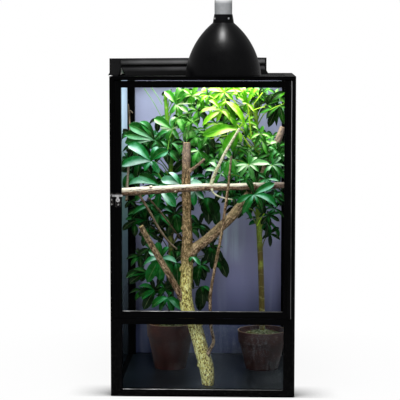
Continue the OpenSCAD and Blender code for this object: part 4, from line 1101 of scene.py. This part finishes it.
class Foliage:
    """A plant's leaves while they grow: one flat leaflet, bent and turned afresh for each place."""

    def __init__(self, leaf, breadth, chance):
        self.flat = points_of(leaf)
        self.faces = [tuple(f.vertices) for f in leaf.data.polygons]
        self.marks = np.array([tuple(corner.uv) for corner in leaf.data.uv_layers[0].data])
        self.breadth = breadth
        self.chance = chance
        self.spots, self.tints, self.painted_lamp_lights = [], [], []

    def keep(self, spots, tint, painted_lamp_light):
        """One more leaflet, with its tone and its share of the painted lamp light."""
        self.spots.append(spots)
        self.tints.append(tint)
        self.painted_lamp_lights.append(painted_lamp_light)

    def spread(self, place, tips, face, arch, twist, tone, darker, paler):
        """A leaflet to each tip, with its own arch, twist and tone."""
        for tip in tips:
            bent = reach_out(self.flat, place, tip, face, self.chance.uniform(0.08, arch),
                             self.chance.uniform(-twist, twist), self.breadth)
            self.keep(bent, tone + self.chance.uniform(-darker, paler), painted_lamp_light_at(place))

    def spray(self, px, py, depth, tone, pixels):
        """Leaflets whose tips are taken from the photograph."""
        face = Vector((self.chance.uniform(-0.2, 0.2), -0.74, 0.66)).normalized()
        tips = (seen_at(pixel, depth + self.chance.uniform(-16, 10)) for pixel in pixels)
        self.spread(seen_at((px, py), depth), tips, face, 0.22, 0.8, tone, 0.16, 0.14)

    def fan(self, px, py, depth, tone, reach):
        """Leaflets all round a place, their tips by chance."""
        place = seen_at((px, py), depth)
        face = Vector((self.chance.uniform(-0.35, 0.35), -0.7, 0.7)).normalized()
        self.spread(place, fan_out(place, reach, face, self.chance), face, 0.24, 0.9, tone, 0.22, 0.16)

    def whorl(self, x, y, z, reach, lean_x, lean_y, base):
        """Leaflets that hang from the head of a stalk, every third one shorter; high ones are painted
        paler, as the lamp above lights them more.
        """
        chance = self.chance
        lean = turn("Y", lean_x) @ turn("X", -lean_y)
        spin = chance.uniform(0, 360)
        count = LEAFLETS + chance.choice((-1, 0, 0, 1))
        # Painted light: the tone rises with height, towards the lamp
        tone = base + (z - 450) / 1100 + chance.uniform(-0.06, 0.1)
        for i in range(count):
            share = 0.82 if i % 3 == 2 else 1.0
            length = reach * chance.uniform(1.05, 1.35) * share
            bent = hang(self.flat, length, math.radians(chance.uniform(-6, 16)),
                        math.radians(chance.uniform(28, 74)), math.radians(chance.uniform(-22, 22)),
                        chance.uniform(-0.03, 0.03))
            bent[:, 1] += 0.07 * reach
            about = turn("Z", spin + 360 / count * i + chance.uniform(-9, 9))
            self.keep(bent @ about.T @ lean.T + np.array((x, y, z)), tone + chance.uniform(-0.1, 0.1),
                      painted_lamp_light_at((x, y, z)) * 0.8)

    def finish(self, name):
        """All the leaflets become one piece that stays inside the cabinet."""
        count, size = len(self.spots), len(self.flat)
        spots = np.clip(np.concatenate(self.spots) * MM, ROOM[0], ROOM[1])
        mesh = bpy.data.meshes.new(name)
        mesh.from_pydata([tuple(p) for p in spots], [],
                         [tuple(i * size + k for k in f) for i in range(count) for f in self.faces])
        mesh.uv_layers.new(name="UVMap").data.foreach_set("uv", np.tile(self.marks.ravel(), count))
        for key, shares in (("tint", self.tints), ("painted_lamp_light", self.painted_lamp_lights)):
            mark(mesh, key, np.repeat(np.clip(shares, 0, 1), size))
        leaves = put_in(name, mesh)
        press(leaves, "SOLIDIFY", thickness=0.0005, offset=0)
        smooth(leaves, 80)
        return leaves


def grow_leaves(plant, leaf):
    """All the leaves of a plant: its sprays, its fans and the whorls behind."""
    foliage = Foliage(leaf, plant["breadth"], random.Random(plant["seed"]))
    for spray in plant["sprays"]:
        foliage.spray(*spray)
    for fan in plant["fans"]:
        foliage.fan(*fan)
    for whorl in from_pot(plant["whorls"], plant["pot"]):
        foliage.whorl(*whorl, plant["tone"])
    return foliage.finish(plant["side"] + "_leaves")


def stem_spot(stem, z):
    """The stem's place at a height."""
    heights = [p[2] for p in stem]
    return [float(np.interp(z, heights, [p[i] for p in stem])) for i in (0, 1)] + [z]


def stalk_routes(plant, stem):
    """A curved stalk from the stem up to the middle of each spray, fan and whorl. It leaves the
    stem well below its head, but never near the soil, and rises sooner than it goes out."""
    rise, above_soil = 62, 20
    lowest = plant["stem"][1][2] + above_soil
    heads = [seen_at(spray[:2], spray[2]) for spray in plant["sprays"] + plant["fans"]]
    heads += [whorl[:3] for whorl in from_pot(plant["whorls"], plant["pot"])]
    for head in heads:
        foot = stem_spot(stem, max(lowest, head[2] - rise))
        middle = [a + (b - a) * share for a, b, share in zip(foot, head, (0.42, 0.42, 0.74))]
        yield [[*foot, 1.9], [*middle, 1.4], [*head, 1.3]]


def young_stalk_routes(plant):
    """The young stalks in front, each a little bowed upwards and thicker at its head."""
    for foot, foot_deep, head, head_deep, radius in plant["stalks"]:
        low, high = Vector(seen_at(foot, foot_deep)), Vector(seen_at(head, head_deep))
        middle = (low + high) / 2 + Vector((0, 0, (high - low).length * 0.05))
        yield [[*low, radius], [*middle, radius * 0.9], [*high, radius * 1.1]]


def grow_stem(plant):
    """The stem, its fork and all stalks in one piece; on its points 1 is a young stalk."""
    stem = from_pot(plant["stem"], plant["pot"])
    lines = [smooth_route(stem, 6), smooth_route(from_pot(plant["fork"], plant["pot"]), 4)]
    name = plant["side"] + "_stem"
    parts = [rod(name, lines[0], 16), rod("fork", lines[1], 12)]
    for route in [*stalk_routes(plant, stem), *young_stalk_routes(plant)]:
        lines.append(smooth_route(route, 4))
        parts.append(rod("stalk", lines[-1], 8))
    whole = join(name, parts)
    along_routes(whole, lines)
    mark(whole.data, "limb", limb_orders(whole) >= len(lines) - len(plant["stalks"]))
    smooth(whole, 60)
    return whole


def lamp_side(f):
    """How far a surface is turned up towards the lamp: 0 in its own shade, 1 square to it."""
    turned = f.add("VectorMath", Vector=f.add("NewGeometry").outputs["Normal"])
    turned.operation = "DOT_PRODUCT"
    turned.inputs[1].default_value = Vector((0.12, -0.34, 0.93)).normalized()
    return f.ease(turned.outputs["Value"], 0.5, 0.97)


def leaf_finish():
    """Waxy leaf with painted light and shade: painted dark green where it faces away from the lamp,
    painted mint or yellow where it faces it, less of that light low down, pale midrib.
    """
    f = Finish("umbrella_leaf", rough=0.3, shine=0.1)
    on_leaf = f.add("TexCoord").outputs["UV"]
    side = f.off(f.axis(on_leaf, "X"), 0.5)
    length = f.sum("MULTIPLY", f.axis(on_leaf, "Y"), 11.0)
    slant = f.sum("SUBTRACT", length, f.sum("MULTIPLY", side, 7.0))
    rib = f.ease(side, 0.04, 0.008, 0.0, 0.5)
    vein = f.ease(f.sum("PINGPONG", slant, 0.5), 0.08, 0.0, 0.0, 0.3)
    ribs = f.sum("MAXIMUM", rib, vein)
    cloud = f.grain(f.spot(), 0.02, detail=4)
    tint = f.sum("ADD", f.own("tint"), f.vary(cloud, -0.1, 0.1))
    # Painted light and shade: faces turned to the lamp pale, others darken, and low leaves get less of
    # the paling
    painted_light_cap = f.ease(f.axis(f.spot(), "Z"), 0.24, 0.5, 0.02, 0.26)
    painted_light = f.ease(lamp_side(f), 0.0, 1.0, -0.34, 0.26)
    tint = f.sum("ADD", tint, f.sum("MINIMUM", painted_light, painted_light_cap))
    cool = f.ramp(tint, (0.0, "#011803"), (0.25, "#054a0d"), (0.5, "#187a38"), (0.74, "#76b89a"),
                  (1.0, "#cfeee2"))
    warm = f.ramp(tint, (0.0, "#082600"), (0.25, "#185600"), (0.5, "#479a04"), (0.74, "#98d822"),
                  (1.0, "#e8fa98"))
    # Painted lamp light: leaves near the lamp take the yellow ramp
    body = f.mix(f.ease(f.own("painted_lamp_light"), 0.05, 0.75), cool, warm)
    f.colour(f.mix(ribs, body, f.mix(0.26, body, "#e2f5b4")))
    f.rough(f.vary(cloud, 0.2, 0.36))
    pores = f.sum("MULTIPLY", f.grain(f.spot(), 0.0025), 0.3)
    f.relief(f.sum("SUBTRACT", pores, ribs), 0.0004, 0.8)
    return f


def stem_finish(name, green, brown, brown_to, green_from, young):
    """Green cane going to brown bark lower down, ringed where old stalks stood, pale young stalks."""
    f = Finish(name, rough=0.5, shine=0.4)
    grain = f.grain(f.spot((1, 1, 0.12), own="along"), 0.002, detail=5)
    cloud = f.grain(f.spot(), 0.03, detail=4)
    height = f.sum("ADD", f.axis(f.spot(), "Z"), f.sum("MULTIPLY", cloud, 0.25))
    tone = f.mix(f.ease(height, green_from, brown_to), green, brown)
    tone = f.mix(f.ease(grain, 0.35, 0.75, 0.0, 0.4), tone, "#2a3408")
    tone = f.mix(f.ease(cloud, 0.52, 0.72, 0.0, 0.5), tone, "#a9b24c")
    uneven = f.sum("ADD", f.axis(f.spot(own="along"), "Z"), f.vary(cloud, -0.008, 0.008))
    ring = f.ease(f.sum("PINGPONG", uneven, 0.0165), 0.0017, 0.0)
    tone = f.mix(f.sum("MULTIPLY", ring, 0.4), tone, "#b9b47a")
    f.colour(f.mix(f.own("limb"), tone, f.mix(f.vary(grain), *young)))
    f.relief(f.sum("ADD", f.sum("MULTIPLY", grain, 0.4), ring), 0.0009, 0.9)
    return f


def grow_plants():
    """Both umbrella plants, their leaves and their stems."""
    leaf = model_leaflet()
    green = leaf_finish()
    cane = stem_finish("green_cane", "#6f9c12", "#5a4a1c", 0.46, 0.66, ("#8fd21c", "#d6f23c"))
    dark = stem_finish("dark_cane", "#6fb42a", "#22240f", 0.62, 0.86, ("#4a8a20", "#84bf4a"))
    plants = [
        {"side": "left", "pot": LEFT_POT, "whorls": LEFT_WHORLS, "sprays": LEFT_SPRAYS,
         "fans": LEFT_FANS, "stalks": LEFT_STALKS, "stem": LEFT_STEM, "fork": LEFT_FORK,
         "tone": 0.1, "wood": dark, "seed": 11, "breadth": 0.42},
        {"side": "right", "pot": RIGHT_POT, "whorls": RIGHT_WHORLS, "sprays": RIGHT_SPRAYS,
         "fans": RIGHT_FANS, "stalks": RIGHT_STALKS, "stem": RIGHT_STEM, "fork": RIGHT_FORK,
         "tone": 0.16, "wood": cane, "seed": 23, "breadth": 0.31},
    ]
    for plant in plants:
        side = plant["side"]
        leaves = grow_leaves(plant, leaf)
        wooden = grow_stem(plant)
        for piece, material in ((leaves, green), (wooden, plant["wood"])):
            material.on(piece)
            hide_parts(side + "_plant")
            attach(piece, frame_body(side + "_plant"))
    bpy.data.objects.remove(leaf)


# Pots, soil and mesh


def pot_finish():
    """Dark red-brown fired pot: mottled, with a painted pale highlight on its upward faces at the rim,
    and faint turning lines.
    """
    f = Finish("pot_clay", rough=0.62, shine=0.3)
    cloud = f.grain(f.spot(), 0.035, detail=5)
    lines = f.grain(f.spot((0.05, 0.05, 1)), 0.004, detail=3)
    tone = f.ramp(cloud, (0.25, "#241110"), (0.5, "#361a17"), (0.75, "#452520"))
    lime = f.sum("MULTIPLY", f.ease(f.grain(f.spot(), 0.014, detail=3), 0.58, 0.75),
                 f.ease(cloud, 0.45, 0.65))
    tone = f.mix(f.sum("MULTIPLY", lime, 0.22), tone, "#8a6f60")
    # Painted highlight: faces turned up, the rim's top, are paled
    wear_and_highlight = f.ease(f.turned("Z"), 0.7, 0.95)
    f.colour(f.mix(f.sum("MULTIPLY", wear_and_highlight, 0.9), tone, "#b89272"))
    f.rough(f.vary(cloud, 0.5, 0.75))
    f.relief(f.sum("ADD", lines, f.sum("MULTIPLY", cloud, 0.5)), 0.0004, 0.6)
    return f


def soil_finish():
    """Crumbly potting soil with painted shade, dark in its hollows and pale on its crumbs, and mossy
    patches.
    """
    f = Finish("potting_soil", rough=0.95, shine=0.15)
    crumb = f.ease(f.grain(f.spot(), 0.0075, detail=8, rough=0.8), 0.38, 0.62, 0.2, 0.85)
    moss = f.sum("MULTIPLY", f.ease(f.grain(f.spot(), 0.02, detail=5), 0.5, 0.6), 0.5)
    # Painted shade and light: the noise that raises the crumbs also darkens the hollows and pales the
    # tops
    tone = f.ramp(crumb, (0.25, "#100e06"), (0.42, "#383a1c"), (0.6, "#7c8250"), (0.82, "#dce0b0"))
    f.colour(f.mix(moss, tone, "#5f7a34"))
    f.relief(crumb, 0.0022, 1.0)
    return f


def chip_finish():
    """Splinters of brown bark with a fine upright grain."""
    f = Finish("bark_chip", rough=0.9, shine=0.15)
    grain = f.grain(f.spot((1, 1, 0.3)), 0.003, detail=5)
    f.colour(f.ramp(grain, (0.3, "#3a2413"), (0.55, "#6d4a2b"), (0.75, "#a37c52")))
    f.relief(grain, 0.0008, 0.9)
    return f


def fill_pot(side, pot, seed, mound):
    """Crumbly soil in a pot: ringed disc, heaved by noise, a hollow by the wall, bark chips on top."""
    low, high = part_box(side + "_soil")
    radius = (high.x - low.x) / 2 - 0.0004
    x, y = pot[0] * MM, pot[1] * MM
    drop_selection()
    bpy.ops.mesh.primitive_circle_add(vertices=64, radius=radius, fill_type="NGON",
                                      location=(x, y, high.z - 0.001))
    soil = bpy.context.active_object
    settle(soil)
    open_up(soil)
    rings, middle, thick = 13, 0.006, 0.012
    for _ in range(rings):
        bpy.ops.mesh.inset(thickness=(radius - middle) / rings)
    close_up()
    press(soil, "SOLIDIFY", thickness=thick, offset=-1)
    spots = points_of(soil)
    for spot in spots:
        if spot[2] < high.z - thick / 1.5:
            continue
        reach = math.hypot(spot[0] - x, spot[1] - y) / radius
        lump = noise.noise(Vector(spot) * 110) * 0.0028 + noise.noise(Vector(spot) * 300) * 0.0014
        heap = mound * (1 - reach) - 0.0025 * max(0.0, reach - 0.85) / 0.15
        spot[2] += lump * (1 if reach < 0.97 else 0.2) + heap
    move_points(soil, spots)
    soil.name = side + "_soil_fill"
    smooth(soil, 80)
    soil_finish().on(soil)
    chips = strew_chips(side, (x, y), radius, high.z, seed, mound)
    for piece in (soil, chips):
        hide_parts(side + "_soil")
        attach(piece, frame_body(side + "_soil"))


def strew_chips(side, pot, radius, top, seed, mound):
    """Flat splinters of bark pressed into the soil round the stem, one modelled and the rest copied."""
    chance = random.Random(seed)
    drop_selection()
    bpy.ops.mesh.primitive_ico_sphere_add(subdivisions=1, radius=1)
    first = bpy.context.active_object
    open_up(first)
    bpy.ops.transform.resize(value=(1, 0.55, 0.28))
    bpy.ops.mesh.bevel(offset=0.12, segments=1)
    close_up()
    how_many, nearest, farthest, sunk_mound = 46, 0.018, radius - 0.007, mound * 0.9
    parts = []
    for _ in range(how_many):
        turned = chance.uniform(0, math.tau)
        reach = nearest + (farthest - nearest) * math.sqrt(chance.random())
        chip = put_in("chip", first.data.copy())
        size = chance.uniform(0.0026, 0.0062)
        chip.scale = (size, size, size)
        chip.rotation_euler = (chance.uniform(-0.5, 0.5), chance.uniform(-0.5, 0.5),
                               chance.uniform(0, 6.2))
        chip.location = (pot[0] + reach * math.cos(turned), pot[1] + reach * math.sin(turned),
                         top + sunk_mound * (1 - reach / radius) + 0.0004)
        settle(chip)
        parts.append(chip)
    bpy.data.objects.remove(first)
    chips = join(side + "_bark_chips", parts)
    chip_finish().on(chips)
    return chips


def draw_wire_mesh():
    """The top's wire mesh: two layers of straight round wires that cross."""
    low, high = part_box("screen_mesh")
    pitch, thick, second_layer_up = 0.0032, 0.00042, 0.00038
    layers = []
    for axis, quarter_turn in ((0, (0, math.radians(90), 0)), (1, (math.radians(90), 0, 0))):
        other = 1 - axis
        count = int((high[other] - low[other]) / pitch)
        drop_selection()
        bpy.ops.mesh.primitive_cylinder_add(vertices=6, radius=thick / 2, depth=high[axis] - low[axis],
                                            end_fill_type="NGON")
        wire = bpy.context.active_object
        wire.rotation_euler = quarter_turn
        place = [0, 0, low.z + thick / 2 + axis * second_layer_up]
        place[other] = (low[other] + high[other] - (count - 1) * pitch) / 2
        wire.location = place
        settle(wire)
        step = [0, 0, 0]
        step[other] = pitch
        press(wire, "ARRAY", use_relative_offset=False, use_constant_offset=True,
              constant_offset_displace=step, count=count)
        layers.append(wire)
    whole = join("wire_mesh", layers)
    smooth(whole, 60)
    f = Finish("mesh_wire", rough=0.42, shine=0.25)
    wear_and_highlight = f.grain(f.spot(), 0.03, detail=4)
    f.colour(f.mix(f.ease(wear_and_highlight, 0.5, 0.72), "#050506", "#17181a"))
    f.relief(f.grain(f.spot(), 0.0005), 0.00003, 0.4)
    f.on(whole)
    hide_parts("screen_mesh")
    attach(whole, frame_body("screen_mesh"))


# Lights, latch and small parts


def lacquer(name, base, pale, rough, coat):
    """Sprayed lacquer: a faint orange-peel skin, a few dust nibs and a clear coat."""
    f = Finish(name, rough=rough, shine=coat)
    cloud = f.grain(f.spot(), 0.05, detail=3)
    nibs = f.ease(f.cells(f.spot(), 0.006), 0.06, 0.02)
    f.colour(f.mix(f.sum("MULTIPLY", nibs, 0.3), f.mix(f.vary(cloud), base, pale), "#6a6a6a"))
    f.rough(f.vary(cloud, rough - 0.05, rough + 0.06))
    f.relief(f.grain(f.spot(), 0.0022, detail=2), 0.00006, 0.5)
    return f


def bright_metal(name, colour, rough, scratch):
    """Plated or bare metal with fine scratches and a little tarnish."""
    f = Finish(name, rough=rough, metal=1.0)
    lines = f.grain(f.spot((1, 1, 0.08)), 0.0012, detail=6)
    cloud = f.grain(f.spot(), 0.01, detail=5)
    f.colour(f.mix(f.ease(cloud, 0.45, 0.7, 0.0, 0.5), colour, "#6f6a62"))
    f.rough(f.vary(lines, rough, rough + scratch))
    f.relief(lines, 0.00006, 0.6)
    return f


def moulded(name, base, pale, rough, pit=0.001):
    """Moulded plastic, ceramic or rubber: a fine even grain and slow unevenness."""
    f = Finish(name, rough=rough, shine=0.4)
    cloud = f.grain(f.spot(), 0.02, detail=4)
    f.colour(f.mix(f.vary(cloud), base, pale))
    f.rough(f.vary(cloud, rough - 0.06, rough + 0.08))
    f.relief(f.grain(f.spot(), pit, detail=4), 0.00008, 0.6)
    return f


def socket_finish():
    """Light grey heatproof housing, paler on its shoulder near the top."""
    f = Finish("socket_grey", rough=0.55, shine=0.35)
    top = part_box("lamp_socket")[1].z
    cloud = f.grain(f.spot(), 0.014, detail=5)
    shoulder = f.ease(f.axis(f.spot(), "Z"), top - 0.012, top - 0.002)
    tone = f.mix(f.vary(cloud), "#7d7f81", "#8e9092")
    f.colour(f.mix(f.sum("MULTIPLY", shoulder, 0.75), tone, "#e2e3e3"))
    f.rough(f.vary(cloud, 0.48, 0.64))
    f.relief(f.grain(f.spot(), 0.0009, detail=4), 0.00012, 0.6)
    return f


def painted_bar_sheen(name, node, sheen_bands):
    """Black lacquer with painted sheen: paler bands painted along a long shallow profile, fading
    towards its left end.
    """
    f = Finish(name, rough=0.36, shine=0.08)
    low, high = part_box(node)
    height = f.ease(f.axis(f.spot(), "Z"), low.z, high.z)
    lines = f.grain(f.spot((0.05, 0.05, 1)), 0.0013, detail=5)
    cloud = f.grain(f.spot((1, 1, 0.2)), 0.09, detail=3)
    # Painted sheen: paler bands by height, broken by fine lines
    tone = f.ramp(f.sum("ADD", height, f.vary(lines, -0.025, 0.025)), *sheen_bands)
    # The painted sheen fades towards the left end and in slow clouds
    ends = f.ease(f.axis(f.spot(), "X"), low.x + 0.03, low.x + 0.13, 0.35, 1.0)
    f.colour(f.mix(f.sum("MULTIPLY", ends, f.ease(cloud, 0.25, 0.6, 0.55, 1.0)), "#050506", tone))
    f.rough(f.vary(lines, 0.3, 0.42))
    f.relief(lines, 0.00005, 0.5)
    return f


def bulb_finish():
    """Pressed glass with a frosted face; its screw cap is plated metal above the neck."""
    f = Finish("bulb_glass", rough=0.16, shine=0.5)
    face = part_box("bulb")[0].z
    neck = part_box("lampholder")[0].z - 0.002
    height = f.axis(f.spot(), "Z")
    metal = f.ease(height, neck - 0.0005, neck + 0.0005)
    thread = f.sum("PINGPONG", height, 0.0019)
    frost = f.mix(f.vary(f.grain(f.spot(), 0.012, detail=4)), "#dfe3e4", "#f4f6f6")
    f.colour(f.mix(metal, frost, "#b9b6ae"))
    feed(f.tree, f.shader.inputs["Metallic"], metal)
    frosted = f.ease(height, face + 0.009, face + 0.027)
    f.rough(f.mix(metal, f.mix(frosted, "#8a8a8a", "#2a2a2a"), "#555555"))
    f.relief(f.sum("MULTIPLY", thread, metal), 0.6, 0.7)
    return f


def hinge_finish():
    """Black lacquered hinge with a painted glint: a thin broken bright line along its barrel, on its
    outer faces and strongest high up.
    """
    f = Finish("hinge_lacquer", rough=0.5, shine=0.03)
    low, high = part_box("hinge_pin")
    # Painted highlight: the bright line where the barrel catches the light
    across = f.off(f.axis(f.spot(), "X"), (low.x + high.x) / 2 - 0.0004)
    glint_breaks = f.ease(f.grain(f.spot((1, 1, 0.05)), 0.004, detail=6), 0.4, 0.6, 0.35, 1.0)
    line = f.sum("MULTIPLY", f.ease(across, 0.0012, 0.0004), glint_breaks)
    line = f.sum("MULTIPLY", line, f.ease(f.axis(f.spot(), "Z"), 0.45, 0.72, 0.4, 1.0))
    outer = f.ease(f.turned("Y"), -0.5, -0.9)
    tone = f.mix(f.vary(f.grain(f.spot(), 0.03)), "#020202", "#060607")
    f.colour(f.mix(f.sum("MULTIPLY", line, outer), tone, "#7c7c7d"))
    f.relief(f.grain(f.spot(), 0.0022, detail=2), 0.00005, 0.5)
    return f


def lay_bead(name, rail, clear):
    """A slim glazing bead with a painted glint on a rail's upper edge, before its pane: half round,
    ends rounded.
    """
    low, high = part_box(rail)
    radius = 0.0011
    drop_selection()
    bpy.ops.mesh.primitive_cylinder_add(
        vertices=16, radius=radius, depth=high.x - low.x - clear * 2,
        location=((low.x + high.x) / 2, low.y + radius, high.z), rotation=(0, math.radians(90), 0))
    bead = bpy.context.active_object
    settle(bead)
    open_up(bead)
    bpy.ops.mesh.bisect(plane_co=(0, 0, high.z), plane_no=(0, 0, 1), use_fill=True, clear_inner=True)
    close_up()
    press(bead, "BEVEL", width=0.0003, segments=2)
    bead.name = name
    smooth(bead, 40)
    bead_finish().on(bead)
    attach(bead, frame_body(rail))


def bead_finish():
    """Polished strip with a painted glint: bright in patches towards the left, dark elsewhere."""
    f = Finish("bead_painted_glint", rough=0.3, shine=0.5)
    patch = f.grain(f.spot((1, 0, 0)), 0.11, detail=3)
    side = f.ease(f.axis(f.spot(), "X"), 0.16, -0.16, 0.1, 1.0)
    # Painted highlight: bright patches of glint, strongest at the left end
    f.colour(f.mix(f.sum("MULTIPLY", f.ease(patch, 0.38, 0.6), side), "#1a1b1d", "#f4f4f4"))
    f.rough(f.vary(f.grain(f.spot((0.1, 1, 1)), 0.003), 0.25, 0.5))
    f.relief(f.grain(f.spot(), 0.002), 0.00004, 0.5)
    return f


def hang_door_seal():
    """A slim rubber lip under the top rail, behind and above the door's edge, rounded below."""
    rail_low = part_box("top_front_rail")[0]
    door_low, door_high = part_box("door_top_rail")
    lip_height, lip_depth = 0.0018, 0.003
    middle = ((door_low.x + door_high.x) / 2, door_high.y + lip_depth, rail_low.z - lip_height / 2)
    drop_selection()
    bpy.ops.mesh.primitive_cube_add(size=1.0, location=middle,
                                    scale=(door_high.x - door_low.x, lip_depth, lip_height))
    lip = bpy.context.active_object
    settle(lip)
    open_up(lip)
    bpy.ops.mesh.bisect(plane_co=(0, 0, rail_low.z - 0.0004), plane_no=(0, 0, 1))
    close_up()
    press(lip, "BEVEL", width=0.0005, segments=3)
    lip.name = "door_seal"
    smooth(lip, 40)
    moulded("seal_rubber", "#0a0a0a", "#151515", 0.75, 0.0005).on(lip)
    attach(lip, frame_body("top_front_rail"))


def dress_fittings():
    """The finishes of the lamps, the hinge, the latch, the pots and the floor brace."""
    lacquer("dome_lacquer", "#010102", "#030304", 0.31, 0.17).on("dome_shell")
    lacquer("collar_lacquer", "#030304", "#070708", 0.42, 0.1).on("dome_collar")
    socket_finish().on("lamp_socket")
    moulded("lamp_ceramic", "#d9d5c9", "#ece9e0", 0.6).on("lampholder")
    moulded("soft_rubber", "#101010", "#1c1c1c", 0.7, 0.0005).on("lamp_grommet")
    bulb_finish().on("bulb")
    bright_metal("rivet_metal", "#f4f4f6", 0.3, 0.2).on("collar_rivets")
    bright_metal("latch_plate_metal", "#222124", 0.26, 0.22).on("latch_keeper", "latch_plate")
    bright_metal("latch_hook_metal", "#f0eff0", 0.16, 0.22).on("latch_hook", "latch_rivet")
    hinge_finish().on("hinge_post_leaf", "hinge_door_leaf")
    bright_metal("screw_metal", "#dad9d6", 0.16, 0.2).on("latch_keeper_screws", "latch_plate_screws")
    bright_metal("pin_steel", "#8d8e90", 0.34, 0.2).on("hinge_pin")
    painted_bar_sheen("bar_lacquer_painted_sheen", "bar_housing", [
        (0.0, "#020202"), (0.3, "#030303"), (0.42, "#4a4a4a"), (0.62, "#757576"), (0.85, "#3a3a3b"),
        (0.95, "#050505")]).on("bar_housing")
    painted_bar_sheen("wing_lacquer_painted_sheen", "bar_front_wing", [
        (0.0, "#020202"), (0.4, "#040404"), (0.55, "#2c2c2d"), (0.7, "#3c3c3d"), (0.86, "#161617"),
        (0.94, "#020202")]).on("bar_front_wing", "bar_back_wing")
    lacquer("cap_lacquer", "#0c0c0d", "#171718", 0.5, 0.1).on("bar_left_cap", "bar_right_cap")
    moulded("pan_white", "#e2e4e4", "#f2f3f3", 0.32).on("bar_pan")
    moulded("holder_white", "#dddcd6", "#efeeea", 0.45).on("tube_holders")
    moulded("tube_coating", "#eef0f1", "#fafbfb", 0.14, 0.0005).on("tube")
    pot_finish().on("left_pot", "right_pot")
    black_frame("brace_black", 0.1, (1, 0.03, 1)).on("floor_brace")


set_camera()
set_light()
lay_floor()
dress_cabinet()
dress_fittings()
lay_bead("door_bead", "door_bottom_rail", 0.004)
lay_bead("lower_bead", "bottom_front_rail", 0.022)
hang_door_seal()
draw_wire_mesh()
grow_climbing_branch()
grow_cross_branch()
grow_plants()
fill_pot("left", LEFT_POT, 5, 0.01)
fill_pot("right", RIGHT_POT, 9, 0.018)

drop_selection()
scene = bpy.context.scene
scene.view_settings.view_transform = "Standard"
